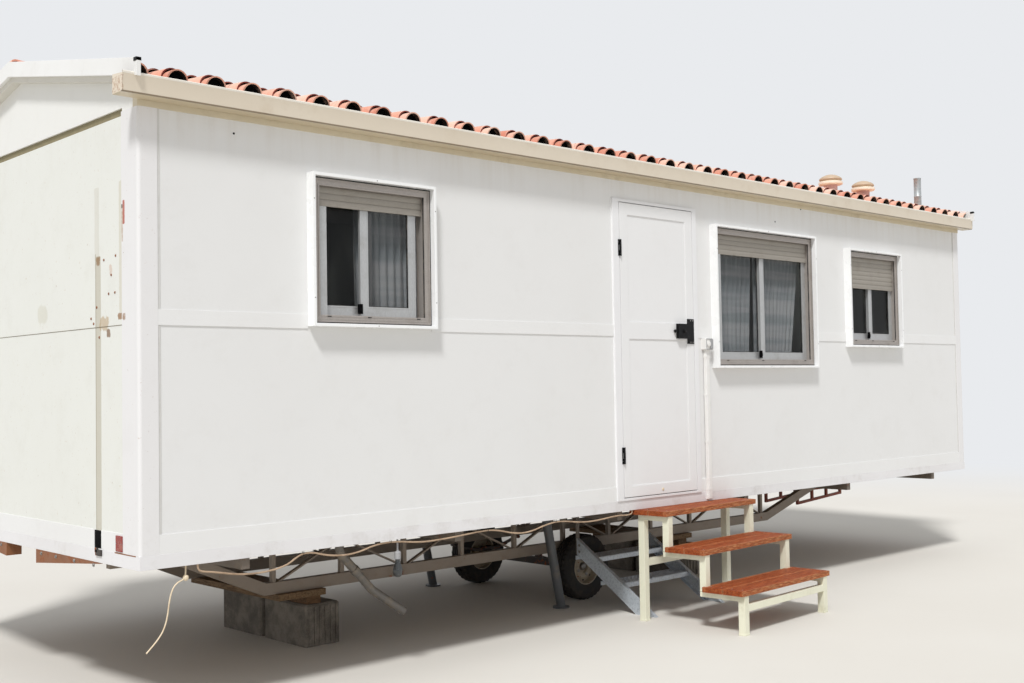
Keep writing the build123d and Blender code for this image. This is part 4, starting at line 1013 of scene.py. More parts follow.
@dataclass
class Studio:
    """Camera, soft lights, floor and pale surroundings."""

    eye: Triple = (-2724.6, -5590.2, 1643.5)
    yaw: float = 43.194
    pitch: float = 2.136
    roll: float = -0.965
    lens: float = 42.43
    key_power: float = 2.6
    key_from: Triple = (-0.75, -0.55, 1.25)
    key_spread: float = 9.0
    sky: str = "#f4f5f8"
    sky_strength: float = 0.62
    backdrop: str = "#e9ebee"
    floor_colour: str = "#d6d2ca"
    floor_cloud: str = "#dedbd4"
    floor_reach: float = 70.0

    def camera(self) -> None:
        """Place the camera."""
        yaw, pitch, roll = (math.radians(v) for v in (self.yaw, self.pitch, self.roll))
        ahead = Vector((math.sin(yaw) * math.cos(pitch), math.cos(yaw) * math.cos(pitch), math.sin(pitch)))
        level = Vector((math.cos(yaw), -math.sin(yaw), 0.0))
        rise = level.cross(ahead)
        right = level * math.cos(roll) + rise * math.sin(roll)
        up = rise * math.cos(roll) - level * math.sin(roll)
        data = bpy.data.cameras.new("camera")
        data.lens = self.lens
        data.sensor_width = 36.0
        data.clip_end = 200.0
        camera = placed("camera", data)
        rotation = Matrix((right, up, -ahead)).transposed().to_4x4()
        camera.matrix_world = Matrix.Translation(spot(*self.eye)) @ rotation
        bpy.context.scene.camera = camera

    def lights(self) -> None:
        """Hang one broad key light and a pale sky."""
        sun = bpy.data.lights.new("key", "SUN")
        sun.energy = self.key_power
        sun.angle = math.radians(self.key_spread)
        placed("key", sun).rotation_euler = Vector(self.key_from).to_track_quat("Z", "Y").to_euler()
        sheet = NodeSheet(bpy.data.worlds.new("studio"))
        bpy.context.scene.world = sheet.owner
        sheet.fill(sheet.shader.inputs[0], self.sky)
        sheet.fill(sheet.shader.inputs[1], self.sky_strength)
        seen = sheet.add("Background", {0: self.backdrop, 1: 1.0})
        mixed = sheet.add("MixShader", {0: sheet.shown(), 1: sheet.shader.outputs[0], 2: seen.outputs[0]})
        sheet.fill(sheet.output.inputs[0], mixed.outputs[0])

    def floor(self) -> None:
        """Lay a plain floor that fades into the backdrop."""
        data = bpy.data.meshes.new("studio_floor")
        reach = self.floor_reach
        data.from_pydata([(-reach, -reach, 0), (reach, -reach, 0), (reach, reach, 0), (-reach, reach, 0)], [],
                         [(0, 1, 2, 3)])
        sheet = NodeSheet(bpy.data.materials.new("studio_floor"))
        cloud = sheet.span(sheet.noise(0.6, 3.0), 0.3, 0.7, 0.0, 0.3)
        data.materials.append(sheet.done(sheet.mix(cloud, self.floor_colour, self.floor_cloud), 0.9))
        away = sheet.add("VectorMath", {0: sheet.stretched((1.0, 1.35, 0.0))}, operation="LENGTH")
        far = sheet.span(away.outputs["Value"], 7.0, 17.0)
        glow = sheet.add("Emission", {0: self.backdrop})
        mixed = sheet.add("MixShader", {0: sheet.times(far, sheet.shown()), 1: sheet.shader.outputs[0],
                                        2: glow.outputs[0]})
        sheet.fill(sheet.output.inputs[0], mixed.outputs[0])
        placed("studio_floor", data)

    def build(self) -> None:
        """Set the view transform, camera, lights and floor."""
        bpy.context.scene.view_settings.view_transform = "Standard"
        self.camera()
        self.lights()
        self.floor()


@dataclass
class Cables:
    """Cable slung along the base, a loose lead and a lamp on a short flex."""

    cable_diameter: float = 0.010
    cable_length: float = 3.418
    cable_setback: float = 10.0
    cable_route: tuple[Pair, ...] = (
        (318, 770), (318, 752), (325, 738), (345, 728), (384, 723), (450, 710), (520, 695), (610, 684),
        (700, 683), (790, 692), (858, 710), (905, 738), (950, 757), (1015, 755), (1080, 735), (1160, 721),
        (1250, 717), (1335, 727), (1410, 748), (1500, 759), (1605, 756), (1700, 742), (1800, 734),
        (1920, 736), (2050, 742), (2180, 751), (2300, 757), (2400, 745), (2490, 722), (2590, 708),
        (2690, 716), (2790, 740), (2896, 756), (3000, 750), (3110, 733), (3220, 727), (3330, 731),
        (3440, 740), (3530, 744), (3585, 738), (3637, 741), (3653, 752), (3653, 770))
    lead_diameter: float = 0.008
    lead_length: float = 0.493
    lead_route: tuple[Triple, ...] = (
        (262, 30, 770), (262, 30, 742), (259, 29, 714), (243, 27, 696), (217, 25, 689), (192, 24, 669),
        (176, 24, 632), (168, 26, 588), (163, 29, 542), (155, 32, 497), (140, 34, 456), (113, 33, 420),
        (80, 30, 389), (45, 26, 360))
    clip_places: tuple[float, ...] = (950.0, 1545.0, 2300.0, 2896.0)
    lamp_left: float = 1610.0
    lamp_setback: float = 30.0
    base_level: float = 770.0

    def cord(self, name: str, node: str, route: list[Triple], width: float,
             finish: Finish) -> None:
        """Hang one smooth cable.

        Args:
            name: name of the piece.
            node: node that it stands for.
            route: control points in drawing millimetres.
            width: its diameter in metres.
            finish: its finish.
        """
        points = [spot(*point) for point in route]
        data = bpy.data.curves.new(name, "CURVE")
        data.dimensions = "3D"
        data.bevel_depth = width / 2
        data.bevel_resolution = 3
        data.resolution_u = 6
        data.use_fill_caps = True
        spline = data.splines.new("NURBS")
        spline.points.add(len(points) - 1)
        for target, point in zip(spline.points, points):
            target.co = (*point, 1.0)
        spline.order_u = 3
        spline.use_endpoint_u = True
        data.materials.append(finish.material())
        piece = placed(name, data)
        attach(piece, Body.HOME.value)
        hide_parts(node)
        LOG.info("made %s, %d control points", name, len(points))

    def build_cords(self) -> None:
        """Hang both cables."""
        slung = [(x, self.cable_setback, z) for x, z in self.cable_route]
        self.cord("slung_cable", "base_cable", slung, self.cable_diameter,
                  Palette.sheath)
        self.cord("hanging_lead", "loose_lead", self.lead_route, self.lead_diameter,
                  Palette.lead)

    def build_clips(self) -> None:
        """Fix saddle clips over the slung cable where it rides highest."""
        shape = Shape("cable_clips")
        near = self.cable_setback
        radius = self.cable_diameter / MM / 2 + 1.6
        for x in self.clip_places:
            level = min(self.cable_route, key=lambda point: abs(point[0] - x))[1]
            loop = [(x, near + radius, self.base_level), (x, near + radius, level)]
            loop += [(x, near + radius * c, level - radius * s) for c, s in around(16)[1:8]]
            loop += [(x, near - radius, level), (x, near - radius, self.base_level)]
            shape.tube(loop, 1.5, 6)
        shape.done(Palette.gasket, Slot.CABLE_SHEATH)
        grommet = Shape("lead_grommet")
        grommet.turned([(5, 0), (11, 3), (15, 10), (15, 18), (11, 26), (5, 30)], (262, 30, 720),
                       DOWN, 18)
        grommet.done(Palette.lead, Slot.CABLE_SHEATH, smooth=60)

    def build_lamp(self) -> None:
        """Hang the lamp: flex, ribbed holder, clear bulb painted dark for the shade behind it, and its
        filament.
        """
        x, y, top = self.lamp_left, self.lamp_setback, self.base_level
        holder = Shape("lamp_holder")
        holder.turned([(5.5, 0), (6, 30), (5.5, 66), (7, 70)], (x, y, top), DOWN, 12)
        ribs = [(8, 70), (13, 73), (19, 77)]
        for step in range(5):
            ribs += [(20, 79 + step * 7), (20, 82 + step * 7), (18.5, 84 + step * 7)]
        holder.turned(ribs + [(19.5, 116), (15, 118)], (x, y, top), DOWN, 20)
        holder.done(Palette.grey_plastic, Slot.LAMP_GLASS, smooth=50, replaces="pendant_lamp")
        bulb = Shape("lamp_bulb")
        bulb.turned([(13.5, 117), (14, 128), (17, 140), (23, 156), (28, 176), (29, 192), (27, 206), (20, 217),
                     (10, 221.5), (0.02, 222)], (x, y, top), DOWN, 28)
        bulb.done(Palette.bulb, Slot.LAMP_GLASS, smooth=80, replaces="pendant_lamp")
        wire = Shape("lamp_filament")
        wire.turned([(12, 117), (12.5, 130), (9, 133)], (x, y, top), DOWN, 16)
        for way in (-1, 1):
            bends = ((3, 132), (7, 172), (9, 178))
            wire.tube([(x + way * out, y, top - down) for out, down in bends], 0.7, 6)
        coil = [(x - 9 + 18 * k / 24, y + 1.6 * math.cos(k * 1.6), top - 178 + 1.6 * math.sin(k * 1.6))
                for k in range(25)]
        wire.tube(coil, 0.5, 5)
        wire.done(Palette.steel, Slot.LAMP_GLASS)

    def build(self) -> None:
        """Make cables, clips and lamp."""
        self.build_cords()
        self.build_clips()
        self.build_lamp()


@dataclass
class TiledRoof:
    """Two slopes of pressed tiles in lapped courses, their ridge tiles and verge clips."""

    eave_level: float = 3180.0
    slope: float = 11.0
    panel: float = 30.0
    pitch: float = 215.5
    first_crest: float = -29.0
    crest_half: float = 58.0
    crest_rise: float = 54.0
    thick: float = 6.5
    verge: float = 48.0
    eave_reach: float = 60.0
    courses: int = 9
    eave_course: float = 68.0
    lap: float = 26.0
    lift: float = 9.0
    step: float = 16.0
    taper: float = 0.1
    ridge_width: float = 250.0
    ridge_rise: float = 62.0
    ridge_tiles: int = 21

    @property
    def tan(self) -> float:
        """Rise of the roof for each unit inward."""
        return math.tan(math.radians(self.slope))

    @property
    def cover(self) -> float:
        """Thickness of the roof panel measured upright."""
        return self.panel / math.cos(math.radians(self.slope))

    def columns(self) -> list[float]:
        """Places along the roof where the tile's section has a corner.

        Returns:
            The places from left to right.
        """
        found = {-self.verge, LENGTH + self.verge}
        offsets = [0.0, 16.0, 31.0, 43.0, 50.0, 55.0, 58.0, 72.0, 107.75]
        centre = self.first_crest
        while centre < LENGTH + self.verge + self.pitch:
            for offset in offsets:
                for x in (centre - offset, centre + offset):
                    if -self.verge < x < LENGTH + self.verge:
                        found.add(round(x, 2))
            centre += self.pitch
        return sorted(found)

    def heights(self, x: float, squeeze: float) -> Pair:
        """Upper and lower face of the tile over the roof panel.

        Args:
            x: place along the roof.
            squeeze: share of the full crest.

        Returns:
            Height of the upper face and of the lower face.
        """
        across = x - self.first_crest
        offset = abs(across - round(across / self.pitch) * self.pitch)
        outer, inner = self.crest_half * squeeze, (self.crest_half - self.thick) * squeeze
        rise = self.crest_rise * squeeze
        top = self.thick
        if offset < outer:
            top += rise * math.sqrt(1 - (offset / outer) ** 2)
        else:
            top -= 2.5 * math.sin(math.pi * min(1.0, (offset - outer) / (self.pitch - 2 * outer)))
        low = rise * math.sqrt(1 - (offset / inner) ** 2) if offset < inner else 0.0
        return top, min(low, top - 3.0)

    def slope_piece(self, side: str) -> None:
        """Lay the courses of one slope, from the eave up.

        Args:
            side: front or rear.
        """
        shape = Shape(f"{side}_tile_courses", side == "rear")
        rng = random.Random(7 if side == "rear" else 3)
        columns = self.columns()
        cos, sin = math.cos(math.radians(self.slope)), math.sin(math.radians(self.slope))
        total = (DEPTH / 2 + self.eave_reach) / cos
        course = (total - self.eave_course) / (self.courses - 1)
        edges = [0.0] + [self.eave_course + course * k for k in range(self.courses)]
        jitter = {round(x / self.pitch): 0.0 for x in columns}
        for index in range(self.courses):
            low = edges[index]
            high = min(edges[index + 1] + self.lap, total)
            for key in jitter:
                jitter[key] = rng.uniform(-2.5, 2.5)
            tops, bottoms = [], []
            for share in (0.0, 0.35, 1.0):
                distance = low + (high - low) * share
                squeeze = 1.0 - self.taper * share
                lift = (self.step if index else self.lift) * (1 - share)
                upper, lower = [], []
                for x in columns:
                    run = distance + jitter[round(x / self.pitch)] * (1 - share)
                    y = -self.eave_reach + run * cos
                    base = self.eave_level + self.cover + y * self.tan
                    top, bottom = self.heights(x, squeeze)
                    upper.append(shape.point(x, y - (top + lift) * sin, base + (top + lift) * cos))
                    lower.append(shape.point(x, y - (bottom + lift) * sin, base + (bottom + lift) * cos))
                tops.append(upper)
                bottoms.append(lower)
            shape.index = 0
            shape.grid(tops)
            # front rims of the upper courses take the painted shade red; the eave course keeps the tile
            # colour
            shape.index = 2 if index else 0
            shape.grid([bottoms[0], tops[0]])
            # undersides take the near-black painted shade
            shape.index = 1
            shape.grid(bottoms[::-1])
            shape.index = 0
            shape.grid([tops[-1], bottoms[-1]])
            for end in (0, -1):
                shape.grid([[row[end] for row in tops], [row[end] for row in bottoms]])
        shape.done([Palette.tile, Palette.tile_under_shade, Palette.tile_rim_shade], Slot.ROOF_TILE, smooth=32,
                   replaces=f"roof_tiles_{side}")

    def hollow_shades(self, side: str) -> None:
        """Close the hollows of the eave tiles with a near-black plate, painted shade inside the hollows.

        Args:
            side: front or rear.
        """
        shape = Shape(f"{side}_eave_hollow_shade", side == "rear")
        y = 24.0 - self.eave_reach
        base = self.eave_level + self.cover + y * self.tan
        inner = self.crest_half - self.thick - 1.0
        centre = self.first_crest
        while centre < LENGTH + self.verge + inner:
            left, right = max(centre - inner, -self.verge + 1), min(centre + inner, LENGTH + self.verge - 1)
            crown = []
            for step in range(13):
                x = left + (right - left) * step / 12
                share = min(1.0, abs(x - centre) / inner)
                crown.append((x, y, base + 6.0 + (self.crest_rise - 2.0) * math.sqrt(1 - share ** 2)))
            shape.plate([(left, y, base + 0.5), *crown, (right, y, base + 0.5)], (0, 4, 0))
            centre += self.pitch
        shape.done(Palette.shade_and_black, Slot.BLACK_IRON, smooth=0)

    def ridge(self) -> None:
        """Lay half-round ridge tiles, each lapping the next."""
        shape = Shape("ridge_tiles")
        slope = math.radians(self.slope)
        crest = (self.eave_level + self.tan * DEPTH / 2 + self.cover
                 + (self.crest_rise + self.thick) / math.cos(slope))
        foot = crest - self.tan * (self.ridge_width / 2 - 10)
        each = (LENGTH + 2 * self.verge) / self.ridge_tiles
        rng = random.Random(11)
        for index in range(self.ridge_tiles):
            start = -self.verge + index * each
            end = min(start + each + 24, LENGTH + self.verge)
            shift = rng.uniform(-2.0, 2.0)
            rows = []
            for x, grow in ((start, 1.0), (start + 14, 1.0), (start + 16, 0.97), (end, 0.93)):
                outer, inner = [], []
                for c, s in around(28)[:15]:
                    reach, rise = c * self.ridge_width / 2 * grow, s * self.ridge_rise * grow
                    outer.append(shape.point(x, DEPTH / 2 + reach + shift, foot + rise))
                    inner.append(shape.point(x, DEPTH / 2 + reach * 0.93 + shift, foot + rise * 0.84))
                rows.append(outer + inner[::-1])
            shape.grid(rows, True)
            for row in (rows[0], rows[-1]):
                for i in range(14):
                    shape.face([row[i], row[i + 1], row[28 - i], row[29 - i]])
        shape.done(Palette.tile, Slot.ROOF_TILE, smooth=40, replaces="ridge_cap")

    def verge_clips(self) -> None:
        """Fix a small dark clip at each foot of the verge boards."""
        shape = Shape("verge_clips")
        foot = -140.0
        level = self.eave_level + self.cover + foot * self.tan + 86
        for x in (-70.0, LENGTH + 48.0):
            for y in (foot, DEPTH - foot - 30):
                shape.box((x - 3, y, level - 14), (x + 25, y + 30, level + 4))
                shape.screw((x + 11, y + 15, level + 4), UP, 5)
        shape.done(Palette.iron, Slot.BLACK_IRON, edge=1.5)

    def build(self) -> None:
        """Lay slopes, ridge and clips, and dress what carries them."""
        for side in ("front", "rear"):
            self.slope_piece(side)
        for side in ("front", "rear"):
            self.hollow_shades(side)
        self.ridge()
        self.verge_clips()
        dress(Palette.verge, "verge_boards", edge=1.5)
        dress(Palette.panel, "roof_panel_front", "roof_panel_rear", "ceiling")
        dress(Palette.eave, "eave_beams", edge=1.0)


@dataclass
class RoofFittings:
    """Mushroom vents, flue, their flashings, and straps across the gutters."""

    vents: tuple[float, ...] = (7250.0, 7825.0)
    vent_setback: float = 600.0
    vent_height: float = 265.0
    flue_left: float = 8410.0
    flue_setback: float = 340.0
    flue_radius: float = 35.0
    flue_height: float = 400.0
    roof: TiledRoof = field(default_factory=TiledRoof)
    strap_pitch: float = 720.0
    gutter_top: float = 3204.0
    gutter_reach: float = 112.0
    gutter_height: float = 102.0
    gutter_left: float = 128.0
    gutter_right: float = 86.0

    def roof_level(self, setback: float) -> float:
        """Top of the roof panel at a distance from the front face."""
        return self.roof.eave_level + self.roof.tan * setback + self.roof.cover

    def build_vents(self) -> None:
        """Turn both vents: neck, hanging skirt, two-step cap and a bead."""
        shape = Shape("vent_bodies")
        high = self.vent_height
        neck = [(62, 20), (62, high - 96)]
        skirt = [(62, high - 100), (104, high - 98), (112, high - 92), (112, high - 74), (108, high - 70),
                 (90, high - 69)]
        cap = [(88, high - 70), (98, high - 62), (102, high - 56), (106, high - 50), (105, high - 43),
               (97, high - 33), (78, high - 20), (50, high - 8), (22, high - 1.5), (0.02, high)]
        for x in self.vents:
            foot = (x, self.vent_setback, self.roof_level(self.vent_setback))
            for shape.index, profile in enumerate((skirt, neck, cap)):
                shape.turned(profile, foot, UP, 40)
        shape.done([Palette.vent, Palette.vent_neck, Palette.vent_cap], Slot.CREAM_PAINT, smooth=40,
                   replaces="roof_vents")

    def build_flashings(self) -> None:
        """Wrap a soft collar round the foot of each vent and of the flue."""
        shape = Shape("roof_flashings")
        feet = [(x, self.vent_setback, 64.0) for x in self.vents]
        feet.append((self.flue_left, self.flue_setback, self.flue_radius + 2))
        for x, y, radius in feet:
            level = self.roof_level(y) + 48
            rows = []
            for grow, rise in ((1.75, 0), (1.45, 16), (1.18, 30), (1.04, 52), (1.0, 52)):
                row = []
                for k, (c, s) in enumerate(around(28)):
                    wave = 5 * math.sin(8 * math.pi * k / 28) * (grow - 1)
                    out = s * radius * grow
                    row.append(shape.point(x + c * radius * grow, y + out,
                                           level + rise + wave + out * self.roof.tan))
                rows.append(row)
            shape.grid(rows, True)
        shape.done(Palette.vent, Slot.CREAM_PAINT, smooth=60)

    def build_flue(self) -> None:
        """Turn the flue with a rolled rim and one joint bead."""
        shape = Shape("flue_tube")
        base = self.roof.eave_level + self.roof.tan * self.flue_setback
        r, high = self.flue_radius, self.flue_height
        wall = [(r, 40), (r, 210), (r + 2, 213), (r + 2, 219), (r, 222), (r, high - 12), (r + 2.5, high - 9),
                (r + 2.5, high - 2), (r, high), (r - 3, high), (r - 3, 60)]
        shape.turned(wall, (self.flue_left, self.flue_setback, base), UP, 28)
        shape.done(Palette.flue, Slot.ZINC, smooth=45, replaces="flue_pipe")

    def build_gutters(self) -> None:
        """Fold both gutters: flat front, rolled lip, rounded foot and closed ends."""
        high, reach = self.gutter_top, self.gutter_reach
        low = high - self.gutter_height
        outer = [(-0.5, high - 2), (-0.5, low + 4), (-4, low), (12 - reach, low), (5 - reach, low + 5),
                 (2.5 - reach, low + 14), (-reach, high - 12)]
        lip = [(-reach - 2, high - 8), (-reach - 2.5, high - 3), (-reach, high), (4 - reach, high),
               (6 - reach, high - 4), (4 - reach, high - 8)]
        inner = [(2.5 - reach, high - 12), (5 - reach, low + 14), (7 - reach, low + 7), (12 - reach, low + 3),
                 (-6, low + 3), (-3.5, low + 6), (-3.5, high - 2)]
        x0, x1 = -self.gutter_left, LENGTH + self.gutter_right
        for name, rear in (("front_gutter", False), ("rear_gutter", True)):
            shape = Shape(name, rear)
            ends = (x0, x1) if not rear else (LENGTH - x1, LENGTH - x0)
            rows = [[shape.point(x, y, z) for y, z in outer + lip + inner] for x in ends]
            count = len(rows[0])
            for i in range(count):
                j = (i + 1) % count
                # the lip's faces take the paler finish, a painted highlight along the top edge
                shape.index = 1 if len(outer) - 1 <= i < len(outer) + len(lip) - 1 else 0
                shape.face([rows[0][i], rows[0][j], rows[1][j], rows[1][i]])
            shape.index = 0
            for x in ends:
                shape.plate([(x - 1.5, y, z) for y, z in outer], (3, 0, 0))
            shape.done([Palette.gutter, Palette.lip], Slot.CREAM_PAINT, smooth=32, replaces="gutters")

    def build_straps(self) -> None:
        """Lay flat straps over both gutters, from the eave to the front lip."""
        for name, rear in (("front_gutter_straps", False), ("rear_gutter_straps", True)):
            shape = Shape(name, rear)
            x = -75.0
            while x < LENGTH + 60:
                shape.box((x, -self.gutter_reach + 2, self.gutter_top - 3),
                          (x + 24, -2, self.gutter_top - 0.5))
                shape.screw((x + 12, -self.gutter_reach + 12, self.gutter_top - 0.5), UP, 4)
                x += self.strap_pitch
            shape.done(Palette.gutter, Slot.CREAM_PAINT)

    def build(self) -> None:
        """Make all roof fittings and the gutters."""
        self.build_gutters()
        self.build_vents()
        self.build_flashings()
        self.build_flue()
        self.build_straps()


@dataclass
class WindowUnit:
    """One sliding window in its projecting surround, with a roller shutter partly let down."""

    name: str
    left: float
    sill: float
    width: float
    height: float
    drop: float
    slide: float = 0.0
    rear: bool = False
    face: float = 48.0
    sash_face: float = 58.0
    front: float = -20.0
    back: float = 56.0
    sash_depth: float = 16.0
    gap: float = 2.0
    surround: float = 18.0
    reach: float = 60.0
    slat_pitch: float = 40.0

    @property
    def right(self) -> float:
        """Right edge of the opening."""
        return self.left + self.width

    @property
    def top(self) -> float:
        """Upper edge of the opening."""
        return self.sill + self.height

    @property
    def track(self) -> float:
        """Front of the front sash."""
        return self.back - 2 * self.sash_depth - 2 * self.gap

    def sashes(self) -> list[tuple[float, float, float]]:
        """Places of both sashes.

        Returns:
            Left edge, right edge and front of each, rear sash first.
        """
        middle = (self.left + self.right) / 2
        lap = self.sash_face / 2
        edge = self.face - 6
        return [(self.left + edge, middle + lap, self.track + self.sash_depth + self.gap),
                (middle - lap - self.slide, self.right - edge - self.slide, self.track)]

    def inset(self, by: float) -> tuple[Pair, Pair]:
        """Lower left and upper right corner of the opening, moved inward."""
        return (self.left + by, self.sill + by), (self.right - by, self.top - by)

    def sight(self, left: float, right: float, by: float) -> tuple[Pair, Pair]:
        """Lower left and upper right corner of a sash's glass, moved outward."""
        edge = self.sash_face - by
        return ((left + edge, self.sill + self.face + edge), (right - edge, self.top - self.face - edge))

    def build_frame_steps(self) -> None:
        """Add the raised lips that step the frame's face."""
        shape = Shape(f"{self.name}_frame_lips", self.rear)
        for by, width, proud in ((8.5, 7, 5), (self.face - 9, 9, 3), (22, 3, 1.5)):
            shape.ring(*self.inset(by), width, self.front - proud, self.front)
        shape.done(Palette.aluminium, Slot.WINDOW_METAL, smooth=0, edge=0.8)

    def build_seals(self) -> None:
        """Add gaskets round the panes, a black ring of painted shade between surround and frame, brush seals
        in the guides and drain slots in the sill.
        """
        shape = Shape(f"{self.name}_gaskets", self.rear)
        for left, right, y in self.sashes():
            middle = y + self.sash_depth / 2
            for near in (middle - 5.0, middle + 2.5):
                shape.ring(*self.sight(left, right, 0.5), 4.5, near, near + 2.5)
        # painted shade: a black ring round the frame's outer edge, for the shade between surround and frame
        shape.ring(*self.inset(0.3), 7.5, self.front - 1.5, self.front + 1)
        low, high = self.sill + self.face, self.top - self.face
        for x in (self.left + self.face, self.right - self.face - 5):
            shape.box((x, self.front + 4, low), (x + 5, self.front + 9, high))
        for share in (0.08, 0.45, 0.93):
            x = self.left + self.face + (self.width - 2 * self.face) * share
            shape.box((x - 13, self.front - 3.6, low - 11), (x + 13, self.front - 2.5, low - 5))
        shape.done(Palette.gasket, Slot.BLACK_IRON, smooth=0)

    def build_beads(self) -> None:
        """Add sloped glazing beads and the pull profile on the front sash."""
        shape = Shape(f"{self.name}_glazing_beads", self.rear)
        for left, right, y in self.sashes():
            shape.ring(*self.sight(left, right, 9), 8.5, y - 1.8, y + 0.5)
        left, _, y = self.sashes()[1]
        low, high = self.sill + self.face, self.top - self.face
        shape.box((left - 0.5, y - 3, low + 4), (left + 7, y + 0.5, high - 4))
        edge = self.left + self.face
        shape.box((edge - 1, 2, low - 1), (edge + 62, 14, self.top - self.drop - 2))
        shape.done(Palette.sash, Slot.WINDOW_METAL, smooth=0, edge=0.7)

    def build_latch(self) -> None:
        """Add the black catch at the foot of the meeting stile and a finger pull above it."""
        shape = Shape(f"{self.name}_catch", self.rear)
        left, _, y = self.sashes()[1]
        foot = self.sill + self.face + 14
        shape.box((left - 18, y - 8, foot), (left + 12, y + 4, foot + 57))
        shape.box((left - 12, y - 15, foot + 14), (left + 6, y - 7, foot + 38))
        shape.turned([(6, 0), (6, 3), (4, 5), (0.02, 5.2)], (left - 3, y - 8, foot + 48), OUT, 12)
        shape.done(Palette.shade_and_black, Slot.BLACK_IRON, edge=1.2)

    def build_slats(self) -> None:
        """Hang hooked shutter slats with dark joints between them, over a bottom bar."""
        shape = Shape(f"{self.name}_slats", self.rear)
        x0, x1 = self.left + self.face + 0.5, self.right - self.face - 0.5
        bottom, top = self.top - self.drop, self.top - self.face
        back = self.track - 3.0
        count = max(1, round((top - bottom) / self.slat_pitch))
        pitch = (top - bottom) / count
        rows = []
        for index in range(count):
            z = bottom + index * pitch
            for share, proud in ((0.0, 7.5), (0.015, 10.5), (0.2, 12.5), (0.5, 13.5), (0.8, 12.5),
                                 (0.965, 10.5), (0.98, 7.5)):
                rows.append([(x0, back - proud, z + share * pitch), (x1, back - proud, z + share * pitch)])
        rows.append([(x0, back - 4, top), (x1, back - 4, top)])
        shape.grid([[shape.point(*p) for p in row] for row in rows])
        shape.box((x0, back - 3.5, bottom), (x1, back, top))
        shape.box((x0, back - 14, bottom - 1), (x1, back - 1, bottom + 12))
        for x in (x0 + (x1 - x0) * 0.2, x0 + (x1 - x0) * 0.78):
            shape.box((x - 14, back - 17, bottom + 1), (x + 14, back - 13, bottom + 9))
        shape.done(Palette.slat, Slot.SHUTTER_SLAT, smooth=50, replaces="window_shutters")

    def build_screws(self) -> None:
        """Set small screws in the surround, two on each upright and one above and below."""
        shape = Shape(f"{self.name}_surround_screws", self.rear)
        (x0, z0), (x1, z1) = self.inset(-self.surround / 2)
        middle = (x0 + x1) / 2
        places = [(x, self.sill + self.height * share) for share in (0.17, 0.84) for x in (x0, x1)]
        for x, z in places + [(middle, z0), (middle, z1)]:
            shape.screw((x, -self.reach, z), OUT, 3.6)
        shape.done(Palette.steel, Slot.FRAME_PAINT)

    def build(self) -> None:
        """Make every fine piece of the window."""
        self.build_frame_steps()
        self.build_seals()
        self.build_beads()
        self.build_latch()
        self.build_slats()
        self.build_screws()


@dataclass
class Curtain:
    """Gathered curtain panel that hangs from a rod inside a window."""

    name: str
    left: float
    right: float
    foot_left: float
    foot_right: float
    low: float
    high: float
    near: float = 78.0
    depth: float = 46.0
    fold: float = 62.0
    seed: int = 1

    def surface(self, share: float, drop: float, phase: list[float]) -> Triple:
        """Point of the cloth.

        Args:
            share: from the left edge to the right edge.
            drop: from the head to the hem.
            phase: random turns of the folds.

        Returns:
            The point in drawing millimetres.
        """
        left = self.left + (self.foot_left - self.left) * drop
        right = self.right + (self.foot_right - self.right) * drop
        count = max(3, round((self.right - self.left) / self.fold))
        turn = 2 * math.pi * count * share
        stray = 0.7 * math.sin(phase[0] + 5 * share) + 0.5 * drop * math.sin(phase[1] + 9 * share)
        swing = math.sin(turn + stray)
        swing += 0.28 * math.sin(2.3 * turn + phase[2] + drop)
        amplitude = (0.27 + 0.1 * drop) * self.depth
        x = left + (right - left) * share + 6 * math.cos(turn + phase[3]) * (0.4 + drop)
        y = self.near + self.depth / 2 + amplitude * swing
        return min(max(x, min(left, right)), max(left, right)), y, self.high + (self.low - self.high) * drop

    def build(self) -> None:
        """Hang the cloth with its header and hem."""
        rng = random.Random(self.seed)
        phase = [rng.uniform(0, 6.28) for _ in range(4)]
        columns = max(40, round((self.right - self.left) / 7))
        shape = Shape(self.name)
        rows = []
        for k in range(25):
            drop = k / 24
            rows.append([shape.point(*self.surface(i / columns, drop, phase)) for i in range(columns + 1)])
        shape.grid(rows)
        flat = 0.0
        for i in range(columns):
            a = Vector(self.surface(i / columns, 0.5, phase))
            flat += (Vector(self.surface((i + 1) / columns, 0.5, phase)) - a).length
        piece = shape.done(Palette.cloth, Slot.CURTAIN_CLOTH, smooth=180, replaces="curtains")
        hem = Shape(f"{self.name}_hem")
        for level, tall in ((0.0, 22.0), (1.0, 30.0)):
            z0 = self.high - tall if level == 0.0 else self.low
            face, back = [], []
            for offset in (0.0, tall):
                drop = min(1.0, max(0.0, (self.high - z0 - offset) / (self.high - self.low)))
                points = [self.surface(i / columns, drop, phase) for i in range(columns + 1)]
                face.append([hem.point(x, y - 1.0, z) for x, y, z in points])
                back.append([hem.point(x, y + 1.0, z) for x, y, z in points])
            hem.grid(face)
            hem.grid(back)
        edge = hem.done(Palette.cloth, Slot.CURTAIN_CLOTH, smooth=180)


